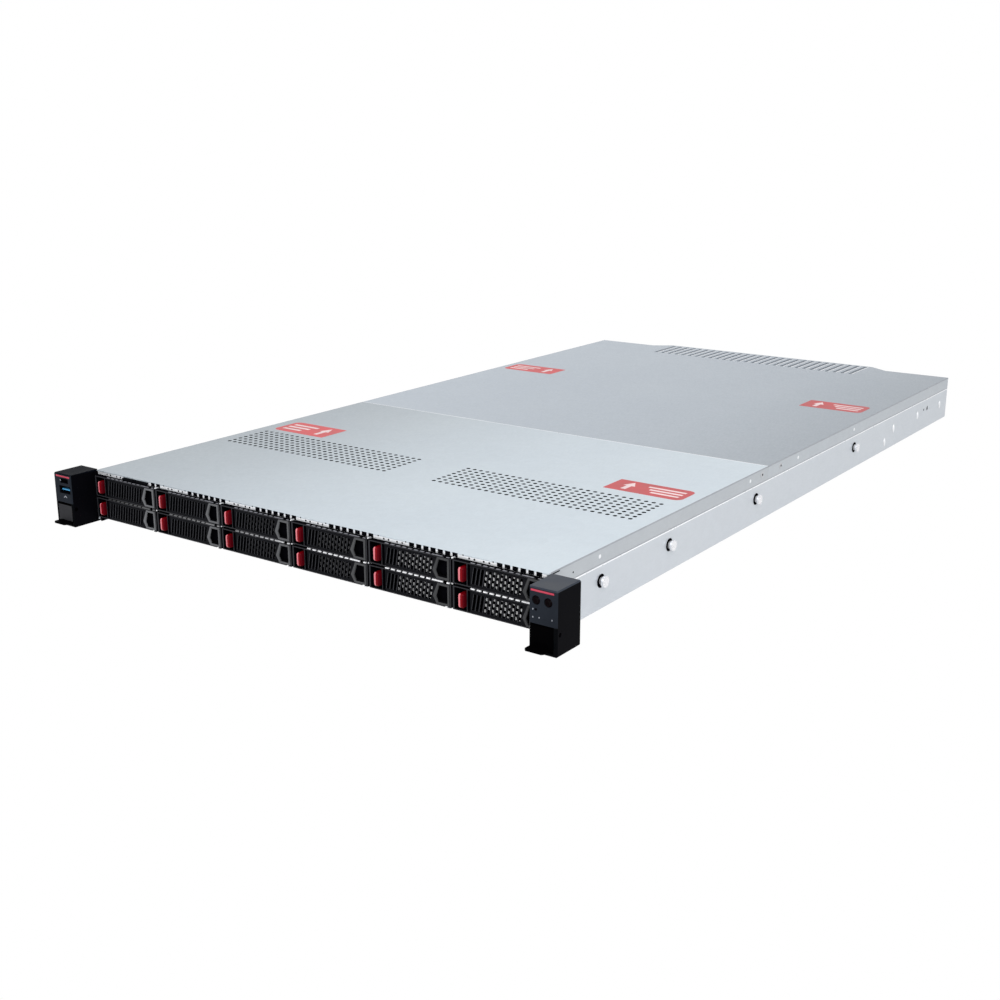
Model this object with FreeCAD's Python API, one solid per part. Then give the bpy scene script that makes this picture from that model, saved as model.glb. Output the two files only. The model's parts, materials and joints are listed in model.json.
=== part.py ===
import FreeCAD, Part
import math
import os

# 1U rack server: sheet-metal chassis, 12 front drive carriers, fans, mainboard and two power supplies.
# Millimetres. +X is right seen from the front, +Y runs to the rear, +Z is up.
# The origin is at the middle of the underside, in the plane where the ears meet the rack posts.

# ---- Driving sizes ----
SHEET = 1.0              # chassis sheet
COVER_SHEET = 1.0        # sheet of both covers
CAGE_SHEET = 0.6         # drive cage partitions
SHELF_SHEET = 0.8        # drive cage shelf, top and front strip
FIT = 0.35               # room between a moving piece and its guide
PIN_FIT = 0.15           # radial room round a hinge pin
SEAT = 0.3               # room under a piece that rests in place
FRONT_Y = -2.0           # front edge of the side walls and the drive cage
FLOOR_FRONT = 10.0       # front edge of the chassis floor
REAR_Y = 790.0           # outer face of the rear wall
COVER_SPLIT = 324.0      # seam between the front and rear covers

# Drives and their carriers
COLUMNS = 6
ROWS = 2
DRIVE_WIDTH = 69.85
DRIVE_HEIGHT = 15.0
DRIVE_LENGTH = 100.45
TRAY_SIDE = 0.6
FRAME_WALL = 0.8
FRAME_LEFT = 1.3         # left wall of the frame
FRAME_DEPTH = 12.0
BAY_SIDE_ROOM = 0.425
BAY_LIFT = 3.85          # from the chassis floor to the lower carriers
ROW_GAP = 1.5
FACE_Y = -5.5            # front of the carriers
RAIL_MARGIN = 0.7        # tray rails stop this far short of the drive's top and bottom

# Carrier handle
HANDLE_DEPTH = 4.5
HANDLE_BEVEL = 2.0
HANDLE_PIN_R = 1.0
PIN_SIDES = 8            # small pins are eight-sided
HANDLE_PIN_IN = 3.4      # from the frame's right inner face to the pin
HANDLE_PIN_BACK = 2.0    # from the handle's front face to the pin
HANDLE_PIN_END = 2.3     # from the pin to the handle's right end
SLAT_COUNT = 12
SLAT_PITCH = 3.3
SLOT_WIDTH = 1.9
SLOT_MARGIN = 1.5        # solid band above and below the slots
SLAT_START = 2.9         # from the handle's left end to the first slot
SLAT_LEAN = 1.9          # how far a slot's top leans to the right
POCKET_WIDTH = 10.9
POCKET_DEPTH = 3.4
POCKET_GAP = 3.5         # from the last slot to the pocket
POCKET_MARGIN = 0.8      # rim above and below the pocket

# Red latch beside each handle
LATCH_POCKET = 10.15     # clear width of the latch's recess
LATCH_WALL = 0.7
LATCH_RECESS = 6.0       # depth of the recess
LATCH_WIDTH = 4.8
LATCH_HEIGHT = 10.0
LATCH_PROUD = 3.0        # how far it stands out of the carrier's face
LATCH_TRAVEL = 2.5
LATCH_CHAMFER = 1.4
LATCH_BEVEL = 1.0
LATCH_STEM = 3.0

# Strip over the drives
STRIP_HEIGHT = 2.3
STRIP_EDGE = 0.3
STRIP_HOLE = 4.3
STRIP_PITCH = 6.1
STRIP_HOLES = 7
STRIP_PAST = 2.4         # the last hole ends this far past the bay's right boundary
CONNECTOR_DEPTH = 8.0
CONNECTOR_WIDTH = 42.0
CONNECTOR_HEIGHT = 5.0
BACKPLANE_SHEET = 1.6
BACKPLANE_VENT = 30.0

# Pull-out information tag
TAG_WIDTH = 29.0
TAG_SHEET = 0.6
TAG_LENGTH = 75.0
TAG_X = -171.0
TAG_LIP = 1.3
TAG_NOTCH_R = 4.0
TAG_NOTCH_DEPTH = 1.0

# Covers
LEDGE_Z = 31.5           # top of the thick lower side wall
LEDGE_FLANGE = 8.0       # inward flange that the covers rest on
SKIRT_START = 1.0
VENT_COLUMNS = 11
VENT_ROWS = 3
VENT_PITCH = 16.4
VENT_HOLE = 8.2
VENT_CENTRE_X = 114.0
VENT_BEHIND = 16.0       # from the backplane to the first row of holes
SLIT_COUNT = 27
SLIT_PITCH = 9.2
SLIT_WIDTH = 4.0
SLIT_LENGTH = 36.0
SLIT_REAR = 1.5          # from the slits' rear ends to the rear wall
TONGUE_HALF = 148.0
TONGUE_DEPTH = 14.0
TONGUE_SLANT = 20.0

# Side wall
STUD_Y = (62.0, 157.0, 303.0, 517.0)
STUD_Z = 20.0
STUD_NECK_R = 2.6
STUD_HEAD_R = 4.0
STUD_NECK = 2.2
STUD_HEAD = 1.8
LUG_Y = (598.0, 622.0, 694.0, 765.0)
LUG_Z = (8.3, 18.0, 18.0, 17.0)
LUG_WIDTH = 1.8
LUG_HEIGHT = 7.0
RAIL_HOLE_Y = 726.0
RAIL_HOLE_R = 2.4
RAIL_HOLE_Z = 20.5

# Ears
EAR_WIDTH = 20.8
EAR_DEPTH = 26.5
EAR_OUTER_WALL = 2.5
EAR_INNER_WALL = 1.2
EAR_WALL = 2.0
EAR_CHAMFER = 0.8
FLANGE_SHEET = 2.0
FLANGE_FRONT = -4.0
FLANGE_LENGTH = 16.0
PANEL_Z = 19.5           # lower edge of the fixed panel
STRIPE_Z = 40.3
STRIPE_HEIGHT = 1.4
STRIPE_DEPTH = 0.4
RACK_HOLE_R = 3.4
RACK_HOLE_X = 232.55
RACK_HOLE_Z = 5.75
LEVER_DEPTH = 3.0
LEVER_DROP = 14.6        # from the panel's edge down to the lever's foot
LEVER_TOP_GAP = 0.8
LEVER_BEVEL = 1.2
LEVER_PIVOT_IN = 3.3     # from the ear's front face to the pivot
LEVER_PIVOT_DOWN = 5.0   # from the panel's edge to the pivot
LEVER_PIN_R = 1.25
LEVER_BARREL_R = 2.2
TAB_LENGTH = 7.8
TAB_SHEET = 1.4
TAB_OUTER_INSET = 2.4
BUTTON_R = 2.7
BUTTON_Z = 34.8
BUTTON_PITCH = 8.9
BUTTON_INSET = 5.2       # from the ear's inner side to the first button
BUTTON_PROUD = 0.3
BUTTON_RIM = 0.9
BUTTON_RIM_DEPTH = 0.8
BUTTON_TRAVEL = 1.0
BOARD_SHEET = 1.2
SWITCH_SIDE = 4.0
SWITCH_DEPTH = 1.0
USB_WIDTH = 13.1
USB_HEIGHT = 5.7
USB_DEPTH = 14.0
USB_Z = 30.2
SLIM_WIDTH = 9.0
SLIM_HEIGHT = 3.3
SLIM_Z = 37.6
PORT_WALL = 0.5
PORT_X = 228.6

# Fans
FAN_COUNT = 6
FAN_PITCH = 68.0
FAN_DEPTH = 28.0
FAN_BEHIND = 68.0        # from the backplane to the fans
FAN_LIFT = 0.3
FAN_WALL = 1.0
FAN_ARM = 3.0
ROTOR_FIT = 0.7
ROTOR_LENGTH = 15.0
HUB_R = 9.0
BLADES = 5
BLADE_SHEET = 1.6
BLADE_HALF = 9.3         # half the blade's width
BLADE_ANGLE = math.radians(38.0)
DUCT_SIDES = 12
HUB_SIDES = 8

# Mainboard
BOARD_Z = 7.0
MAIN_BOARD_SHEET = 1.6
BOARD_GAP = 16.0         # from the fans to the board
BOARD_EDGE = 8.0         # from the side walls to the board
STANDOFF_SIDE = 5.0
SINK_WIDTH = 78.0
SINK_LENGTH = 108.0
SINK_BASE = 4.0
SINK_FINS = 13
SINK_FIN = 0.8
SINK_X = 93.0
SINK_FROM = 80.0         # from the board's front edge to the heat sinks
SINK_TOP_ROOM = 6.0
MEMORY_COUNT = 12
MEMORY_PITCH = 7.6
MEMORY_LENGTH = 133.0
MEMORY_SHEET = 3.0
MEMORY_TOP_ROOM = 3.0

# Power supplies
PSU_WIDTH = 73.5
PSU_LENGTH = 185.0
PSU_WALL = 1.0
INLET_WIDTH = 24.0
INLET_HEIGHT = 16.4
INLET_DEPTH = 13.0
INLET_WALL = 1.2
INLET_EDGE = 4.0
BLADE_PIN = (2.0, 4.0)
PIN_SPREAD = 7.0
PIN_SET_BACK = 2.0
BAIL_DEPTH = 20.0
BAIL_BAR = 4.0
BAIL_HEIGHT = 8.0
BAIL_SPAN = 30.0
BAIL_EDGE = 4.0
GRILLE_SLOTS = 5
GRILLE_SLOT = 4.0
GRILLE_PITCH = 6.4
GRILLE_HEIGHT = 30.0

# Rear connectors and expansion slots
JACK_SIDE = 16.0
JACK_HEIGHT = 13.5
JACK_DEPTH = 20.0
JACK_OPENING = (12.0, 8.0)
JACK_WALL = 2.0
JACK_X = (8.0, 25.0)
REAR_USB_X = -12.0
VIDEO_X = -42.0
VIDEO_WIDTH = 30.8
VIDEO_HEIGHT = 12.5
VIDEO_PROUD = 4.0
SLOT_X = (85.0, 160.0)
SLOT_WIDTH_X = 60.0
SLOT_HEIGHT = 18.0
SLOT_COVER = 1.0
SLOT_Z = 16.0
SLOT_LAP = 2.0

# ---- Sizes worked out from them ----
CARRIER_WIDTH = DRIVE_WIDTH + 2 * TRAY_SIDE
CARRIER_HEIGHT = DRIVE_HEIGHT + 2 * FRAME_WALL
BAY_PITCH = CARRIER_WIDTH + CAGE_SHEET + 2 * BAY_SIDE_ROOM
INNER_HALF = COLUMNS * BAY_PITCH / 2
HALF_WIDTH = INNER_HALF + SHEET
ROW_PITCH = CARRIER_HEIGHT + ROW_GAP
FIRST_ROW_Z = SHEET + BAY_LIFT
CAGE_FLOOR_Z = FIRST_ROW_Z - FIT - SHELF_SHEET
CAGE_TOP_Z = FIRST_ROW_Z + ROWS * ROW_PITCH - ROW_GAP + FIT
COVER_Z = CAGE_TOP_Z + STRIP_HEIGHT
TOP_Z = COVER_Z + COVER_SHEET
FRAME_BACK = FACE_Y + FRAME_DEPTH
DRIVE_BACK = FRAME_BACK + DRIVE_LENGTH
BACKPLANE_Y = DRIVE_BACK + SEAT + CONNECTOR_DEPTH
BACKPLANE_BACK = BACKPLANE_Y + BACKPLANE_SHEET
WALL_TOP = COVER_Z - SEAT
UPPER_OUTER = HALF_WIDTH - COVER_SHEET - SEAT
UPPER_INNER = UPPER_OUTER - SHEET
SKIRT_Z = LEDGE_Z + SEAT
FAN_FRONT = BACKPLANE_BACK + FAN_BEHIND
FAN_SIDE = COVER_Z - SHEET - 2 * FAN_LIFT
FAN_BOTTOM = SHEET + FAN_LIFT
FAN_MID_Z = FAN_BOTTOM + FAN_SIDE / 2
DUCT_R = FAN_SIDE / 2 - FAN_WALL
FAN_BACK = FAN_FRONT + FAN_DEPTH
BOARD_Y = FAN_BACK + BOARD_GAP
BOARD_TOP = BOARD_Z + MAIN_BOARD_SHEET
PSU_FRONT = REAR_Y - PSU_LENGTH
PSU_Z = SHEET + SEAT
PSU_TOP = WALL_TOP - SHEET - SEAT
PSU_MID_Z = (PSU_Z + PSU_TOP) / 2
PSU_X = [-(UPPER_INNER - FIT - PSU_WIDTH / 2) + k * (PSU_WIDTH + 2 * FIT) for k in range(2)]
PSU_INNER_X = PSU_X[1] + PSU_WIDTH / 2 + FIT
EAR_X = HALF_WIDTH + FLANGE_SHEET
HANDLE_Z = FRAME_WALL + SEAT
HANDLE_HEIGHT = CARRIER_HEIGHT - 2 * HANDLE_Z
LATCH_RIGHT = FRAME_LEFT + LATCH_POCKET
HANDLE_LEFT = LATCH_RIGHT + LATCH_WALL + FIT
HANDLE_PIVOT_U = CARRIER_WIDTH - FRAME_WALL - HANDLE_PIN_IN
HANDLE_PIVOT_Y = FACE_Y + HANDLE_PIN_BACK
HANDLE_RIGHT = HANDLE_PIVOT_U + HANDLE_PIN_END
PIVOT_Z = PANEL_Z - LEVER_PIVOT_DOWN
PIVOT_Y = LEVER_PIVOT_IN - EAR_DEPTH
TAG_Z = CAGE_TOP_Z + SHELF_SHEET + SEAT
TAG_TOP = COVER_Z - SEAT

X = FreeCAD.Vector(1, 0, 0)
Y = FreeCAD.Vector(0, 1, 0)
Z = FreeCAD.Vector(0, 0, 1)


def box(x0, x1, y0, y1, z0, z1):
    """A block between two corners."""
    return Part.makeBox(x1 - x0, y1 - y0, z1 - z0, FreeCAD.Vector(x0, y0, z0))


def rod(radius, start, direction, length):
    """A round bar."""
    return Part.makeCylinder(radius, length, FreeCAD.Vector(*start), direction)


def prism(points, direction, length):
    """A closed outline of 3-D points pushed along a direction."""
    corners = [FreeCAD.Vector(*p) for p in points]
    face = Part.Face(Part.makePolygon(corners + [corners[0]]))
    return face.extrude(FreeCAD.Vector(direction) * length)


def flat_sided(sides, radius, start, direction, length):
    """A bar with a regular outline, pushed along an axis. radius is to its flats."""
    along = Y if direction == X else X
    across = direction.cross(along)
    corner = radius / math.cos(math.pi / sides)
    ring = []
    for k in range(sides):
        angle = (k + 0.5) * 2 * math.pi / sides
        spoke = along * math.cos(angle) + across * math.sin(angle)
        ring.append(FreeCAD.Vector(*start) + spoke * corner)
    return prism(ring, direction, length)


def joined(solids):
    """Fuses touching solids into one and drops the seams between flat faces."""
    return solids[0].fuse(solids[1:]).removeSplitter()


def mirrored(shape):
    """The same shape on the other side of the server."""
    return shape.mirror(FreeCAD.Vector(0, 0, 0), X)


def both_sides(shape):
    return [shape, mirrored(shape)]


def bay_left(column):
    """X of a drive bay's left boundary."""
    return (column - COLUMNS / 2) * BAY_PITCH


def carrier_corner(column, row):
    """Lower left corner of a carrier, in X and Z."""
    return bay_left(column) + CAGE_SHEET / 2 + BAY_SIDE_ROOM, FIRST_ROW_Z + row * ROW_PITCH


# ---- Chassis ----
def wall_profile(y):
    """Right half of the bent sheet: floor, lower wall, ledge, upper wall and cover flange."""
    flange_in = UPPER_OUTER - LEDGE_FLANGE
    return [(0, y, 0), (HALF_WIDTH, y, 0), (HALF_WIDTH, y, LEDGE_Z), (UPPER_OUTER, y, LEDGE_Z),
            (UPPER_OUTER, y, WALL_TOP), (flange_in, y, WALL_TOP), (flange_in, y, WALL_TOP - SHEET),
            (UPPER_INNER, y, WALL_TOP - SHEET), (UPPER_INNER, y, LEDGE_Z - SHEET),
            (INNER_HALF, y, LEDGE_Z - SHEET), (INNER_HALF, y, SHEET), (0, y, SHEET)]


def side_openings():
    """Rail lugs and holes pressed through the right side wall."""
    tools = []
    for y, z in zip(LUG_Y, LUG_Z):
        tools.append(box(INNER_HALF - 1, HALF_WIDTH + 1, y - LUG_WIDTH / 2, y + LUG_WIDTH / 2,
                         z - LUG_HEIGHT / 2, z + LUG_HEIGHT / 2))
    start = (INNER_HALF - 1, RAIL_HOLE_Y, RAIL_HOLE_Z)
    tools.append(flat_sided(PIN_SIDES, RAIL_HOLE_R, start, X, SHEET + 2))
    return tools


def rear_openings():
    """Cut-outs of the rear wall for the power supplies, connectors and expansion slots."""
    y0 = REAR_Y - SHEET - 1
    y1 = REAR_Y + 1
    psu_side = PSU_INNER_X - FIT + SEAT
    tools = [box(-INNER_HALF, psu_side, y0, y1, SHEET, PSU_TOP + SEAT)]
    for x in JACK_X:
        tools.append(box(x - JACK_SIDE / 2 - SEAT, x + JACK_SIDE / 2 + SEAT, y0, y1,
                         BOARD_TOP, BOARD_TOP + JACK_HEIGHT + SEAT))
    tools.append(box(REAR_USB_X - USB_WIDTH / 2 - SEAT, REAR_USB_X + USB_WIDTH / 2 + SEAT, y0, y1,
                     BOARD_TOP, BOARD_TOP + 2 * USB_HEIGHT + 2 * SEAT))
    tools.append(box(VIDEO_X - VIDEO_WIDTH / 2 - SEAT, VIDEO_X + VIDEO_WIDTH / 2 + SEAT, y0, y1,
                     BOARD_TOP, BOARD_TOP + VIDEO_HEIGHT + SEAT))
    for x in SLOT_X:
        tools.append(box(x - SLOT_WIDTH_X / 2, x + SLOT_WIDTH_X / 2, y0, y1, SLOT_Z, SLOT_Z + SLOT_HEIGHT))
    return tools


def rear_panel():
    """Rear wall with its cut-outs, welded in between the side walls and on the floor."""
    lower = box(-INNER_HALF, INNER_HALF, REAR_Y - SHEET, REAR_Y, SHEET, LEDGE_Z - SHEET)
    upper = box(-UPPER_INNER, UPPER_INNER, REAR_Y - SHEET, REAR_Y, LEDGE_Z - SHEET, WALL_TOP - SHEET)
    return joined([lower, upper]).cut(rear_openings())


def chassis_base():
    """One bent sheet, with plain walls round the drive cage and joggled walls behind it, and the rear panel."""
    right = prism(wall_profile(BACKPLANE_BACK), Y, REAR_Y - BACKPLANE_BACK)
    floor = box(-HALF_WIDTH, HALF_WIDTH, FLOOR_FRONT, BACKPLANE_BACK, 0, SHEET)
    front_wall = box(INNER_HALF, HALF_WIDTH, FRONT_Y, BACKPLANE_BACK, 0, LEDGE_Z)
    tray = joined(both_sides(right) + both_sides(front_wall) + [floor])
    holes = side_openings()
    tray = tray.cut(holes + [mirrored(tool) for tool in holes])
    return Part.makeCompound([tray, rear_panel()])


def rail_studs():
    """Headed studs on both side walls, which hook into the sliding rails."""
    studs = []
    for y in STUD_Y:
        neck = flat_sided(PIN_SIDES, STUD_NECK_R, (HALF_WIDTH, y, STUD_Z), X, STUD_NECK)
        head = rod(STUD_HEAD_R, (HALF_WIDTH + STUD_NECK, y, STUD_Z), X, STUD_HEAD)
        studs += both_sides(neck.fuse(head))
    return Part.makeCompound(studs)


# ---- Drive cage and backplane ----
def drive_cage():
    """Partitions on feet, a shelf under each row, and a top with the perforated strip over the drives."""
    plates = []
    for column in range(1, COLUMNS):
        left = bay_left(column) - CAGE_SHEET / 2
        right = left + CAGE_SHEET
        plates.append(box(left, right, FRONT_Y, BACKPLANE_Y, CAGE_FLOOR_Z, CAGE_TOP_Z))
        plates.append(box(left, right, FLOOR_FRONT, BACKPLANE_Y, SHEET, CAGE_FLOOR_Z))
    half = INNER_HALF - SEAT
    shelf_z = FIRST_ROW_Z + CARRIER_HEIGHT + (ROW_GAP - SHELF_SHEET) / 2
    for z in (CAGE_FLOOR_Z, shelf_z, CAGE_TOP_Z):
        plates.append(box(-half, half, FRONT_Y, BACKPLANE_Y, z, z + SHELF_SHEET))
    plates.append(box(-half, half, FRONT_Y, FRONT_Y + SHELF_SHEET, CAGE_TOP_Z, COVER_Z))
    return joined(plates).cut(strip_openings())


def strip_openings():
    """Square holes of the strip, and the slot of the information tag."""
    tag = box(TAG_X - TAG_WIDTH / 2 - FIT, TAG_X + TAG_WIDTH / 2 + FIT, FRONT_Y - 1,
              FRONT_Y + SHELF_SHEET, CAGE_TOP_Z + SHELF_SHEET, COVER_Z)
    tools = [tag]
    for column in range(COLUMNS):
        for k in range(STRIP_HOLES):
            right = bay_left(column + 1) + STRIP_PAST - k * STRIP_PITCH
            beside_tag = abs(right - STRIP_HOLE / 2 - TAG_X) > (TAG_WIDTH + STRIP_HOLE) / 2 + FIT + 1
            if beside_tag and right < INNER_HALF - SHEET:
                tools.append(box(right - STRIP_HOLE, right, FRONT_Y - 1, FRONT_Y + SHELF_SHEET,
                                 CAGE_TOP_Z + STRIP_EDGE, COVER_Z - STRIP_EDGE))
    return tools


def backplane():
    """Circuit board across the back of the cage, with one connector for each drive."""
    half = UPPER_INNER - 1
    board = box(-half, half, BACKPLANE_Y, BACKPLANE_BACK, SHEET, CAGE_TOP_Z)
    slots = []
    connectors = []
    for column in range(COLUMNS):
        middle = bay_left(column) + BAY_PITCH / 2
        for row in range(ROWS):
            z = FIRST_ROW_Z + row * ROW_PITCH + CARRIER_HEIGHT / 2
            connectors.append(box(middle - CONNECTOR_WIDTH / 2, middle + CONNECTOR_WIDTH / 2,
                                  BACKPLANE_Y - CONNECTOR_DEPTH, BACKPLANE_Y,
                                  z - CONNECTOR_HEIGHT / 2, z + CONNECTOR_HEIGHT / 2))
        z = FIRST_ROW_Z + ROW_PITCH - ROW_GAP / 2
        slots.append(box(middle - BACKPLANE_VENT / 2, middle + BACKPLANE_VENT / 2,
                         BACKPLANE_Y - 1, BACKPLANE_BACK + 1, z - ROW_PITCH / 4, z + ROW_PITCH / 4))
    return joined([board.cut(slots)] + connectors)


# ---- Drive carriers ----
def drive_carrier(column, row):
    """Front frame with the latch's recess and the handle's snap-in notches, side rails, and the drive."""
    x, z = carrier_corner(column, row)
    block = box(x, x + CARRIER_WIDTH, FACE_Y, FRAME_BACK, z, z + CARRIER_HEIGHT)
    inner_z = z + FRAME_WALL
    inner_top = z + CARRIER_HEIGHT - FRAME_WALL
    latch_right = x + LATCH_RIGHT
    recess = box(x + FRAME_LEFT, latch_right, FACE_Y - 1, FACE_Y + LATCH_RECESS, inner_z, inner_top)
    handle_room = box(latch_right + LATCH_WALL, x + CARRIER_WIDTH - FRAME_WALL,
                      FACE_Y - 1, FRAME_BACK + 1, inner_z, inner_top)
    middle_z = z + CARRIER_HEIGHT / 2
    stem_right = latch_right - FIT - (LATCH_WIDTH - LATCH_STEM) / 2 + SEAT
    stem_slot = box(stem_right - LATCH_STEM - LATCH_TRAVEL - 2 * SEAT, stem_right, FACE_Y, FRAME_BACK + 1,
                    middle_z - LATCH_STEM / 2 - SEAT, middle_z + LATCH_STEM / 2 + SEAT)
    notch = HANDLE_PIN_R / math.cos(math.pi / PIN_SIDES) + PIN_FIT
    pin_x = x + HANDLE_PIVOT_U
    pin_notch = box(pin_x - notch, pin_x + notch, FACE_Y - 1, HANDLE_PIVOT_Y + notch,
                    z - 1, z + CARRIER_HEIGHT + 1)
    frame = block.cut([recess, handle_room, stem_slot, pin_notch])
    rails = []
    for left in (x, x + CARRIER_WIDTH - TRAY_SIDE):
        rails.append(box(left, left + TRAY_SIDE, FRAME_BACK, DRIVE_BACK,
                         inner_z + RAIL_MARGIN, inner_top - RAIL_MARGIN))
    drive = box(x + TRAY_SIDE, x + TRAY_SIDE + DRIVE_WIDTH, FRAME_BACK, DRIVE_BACK, inner_z, inner_top)
    return Part.makeCompound([joined([frame] + rails), drive])


def carrier_handle(column, row):
    """Swinging front of a carrier: bevelled bar with leaning cooling slots, a pocket and two hinge pins."""
    x, z = carrier_corner(column, row)
    z0 = z + HANDLE_Z
    left = x + HANDLE_LEFT
    right = x + HANDLE_RIGHT
    back = FACE_Y + HANDLE_DEPTH
    plan = [(left, back, z0), (left, FACE_Y + HANDLE_BEVEL, z0), (left + HANDLE_BEVEL, FACE_Y, z0),
            (right, FACE_Y, z0), (right, back, z0)]
    bar = prism(plan, Z, HANDLE_HEIGHT)
    low = z0 + SLOT_MARGIN
    high = z0 + HANDLE_HEIGHT - SLOT_MARGIN
    tools = []
    for k in range(SLAT_COUNT):
        u = left + SLAT_START + k * SLAT_PITCH
        slot = [(u, FACE_Y - 1, low), (u + SLOT_WIDTH, FACE_Y - 1, low),
                (u + SLOT_WIDTH + SLAT_LEAN, FACE_Y - 1, high), (u + SLAT_LEAN, FACE_Y - 1, high)]
        tools.append(prism(slot, Y, HANDLE_DEPTH + 2))
    u = left + SLAT_START + (SLAT_COUNT - 1) * SLAT_PITCH + SLOT_WIDTH + POCKET_GAP
    low = z0 + POCKET_MARGIN
    high = z0 + HANDLE_HEIGHT - POCKET_MARGIN
    pocket = [(u, FACE_Y - 1, low), (u + POCKET_WIDTH, FACE_Y - 1, low),
              (u + POCKET_WIDTH, FACE_Y - 1, high), (u + SLAT_LEAN, FACE_Y - 1, high)]
    tools.append(prism(pocket, Y, POCKET_DEPTH + 1))
    pins = []
    for start in (z + SEAT, z0 + HANDLE_HEIGHT):
        pins.append(flat_sided(PIN_SIDES, HANDLE_PIN_R, (x + HANDLE_PIVOT_U, HANDLE_PIVOT_Y, start), Z,
                               HANDLE_Z - SEAT))
    return bar.cut(tools).fuse(pins)


def latch_button(column, row):
    """Red sliding latch: a chamfered cap with a bevelled front, on a stem through the frame."""
    x, z = carrier_corner(column, row)
    right = x + LATCH_RIGHT - FIT
    left = right - LATCH_WIDTH
    middle_z = z + CARRIER_HEIGHT / 2
    z0 = middle_z - LATCH_HEIGHT / 2
    z1 = middle_z + LATCH_HEIGHT / 2
    back = FACE_Y + LATCH_RECESS - SEAT
    front = FACE_Y - LATCH_PROUD
    c = LATCH_CHAMFER
    profile = [(left, back, z0), (right, back, z0), (right, back, z1 - c), (right - c, back, z1),
               (left + c, back, z1), (left, back, z1 - c)]
    body = prism(profile, Y, front - back)
    body = body.makeChamfer(LATCH_BEVEL, [edge for edge in body.Edges if edge.BoundBox.YMax < front + 0.01])
    middle = (left + right) / 2
    stem = box(middle - LATCH_STEM / 2, middle + LATCH_STEM / 2, back, FRAME_BACK - SEAT,
               middle_z - LATCH_STEM / 2, middle_z + LATCH_STEM / 2)
    return joined([body, stem])


def info_tag():
    """Thin plate that slides out over the drives, with a lip and a thumb notch in front."""
    x0 = TAG_X - TAG_WIDTH / 2
    x1 = TAG_X + TAG_WIDTH / 2
    back = FRONT_Y - SEAT
    lip = box(x0, x1, back - TAG_LIP, back, CAGE_TOP_Z, TAG_TOP)
    plate = box(x0, x1, back, back + TAG_LENGTH, TAG_Z, TAG_Z + TAG_SHEET)
    notch = rod(TAG_NOTCH_R, (TAG_X, back - TAG_LIP, CAGE_TOP_Z - 1), Z, TAG_TOP - CAGE_TOP_Z + 2)
    notch.translate(Y * (TAG_NOTCH_DEPTH - TAG_NOTCH_R))
    return joined([lip, plate]).cut(notch)


# ---- Covers ----
def cover_shell(outline, skirt_front, skirt_back):
    """Flat top from an outline, with a skirt down each side between two Y positions."""
    top = prism(outline, Z, COVER_SHEET)
    skirt = box(HALF_WIDTH - COVER_SHEET, HALF_WIDTH, skirt_front, skirt_back, SKIRT_Z, COVER_Z)
    return joined([top] + both_sides(skirt))


def front_cover():
    """Cover over the drives and fans, with two perforated zones."""
    y1 = COVER_SPLIT - SEAT / 2
    outline = [(-HALF_WIDTH, FRONT_Y, COVER_Z), (HALF_WIDTH, FRONT_Y, COVER_Z),
               (HALF_WIDTH, y1, COVER_Z), (-HALF_WIDTH, y1, COVER_Z)]
    cover = cover_shell(outline, SKIRT_START, y1)
    start_y = BACKPLANE_BACK + VENT_BEHIND
    holes = []
    for side in (-1, 1):
        for column in range(VENT_COLUMNS):
            x = side * VENT_CENTRE_X + (column - (VENT_COLUMNS - 1) / 2) * VENT_PITCH
            for row in range(VENT_ROWS):
                y = start_y + row * VENT_PITCH
                holes.append(box(x - VENT_HOLE / 2, x + VENT_HOLE / 2, y, y + VENT_HOLE,
                                 COVER_Z - 1, TOP_Z + 1))
    return cover.cut(holes)


def rear_cover():
    """Cover over the mainboard, with slits and a tongue at the rear."""
    y0 = COVER_SPLIT + SEAT / 2
    tip = REAR_Y + TONGUE_DEPTH
    outline = [(-HALF_WIDTH, y0, COVER_Z), (HALF_WIDTH, y0, COVER_Z), (HALF_WIDTH, REAR_Y, COVER_Z),
               (TONGUE_HALF, REAR_Y, COVER_Z), (TONGUE_HALF - TONGUE_SLANT, tip, COVER_Z),
               (TONGUE_SLANT - TONGUE_HALF, tip, COVER_Z), (-TONGUE_HALF, REAR_Y, COVER_Z),
               (-HALF_WIDTH, REAR_Y, COVER_Z)]
    cover = cover_shell(outline, y0, REAR_Y)
    slits = []
    for k in range(SLIT_COUNT):
        x = (k - (SLIT_COUNT - 1) / 2) * SLIT_PITCH
        slits.append(box(x - SLIT_WIDTH / 2, x + SLIT_WIDTH / 2, REAR_Y - SLIT_REAR - SLIT_LENGTH,
                         REAR_Y - SLIT_REAR, COVER_Z - 1, TOP_Z + 1))
    return cover.cut(slits)


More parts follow.
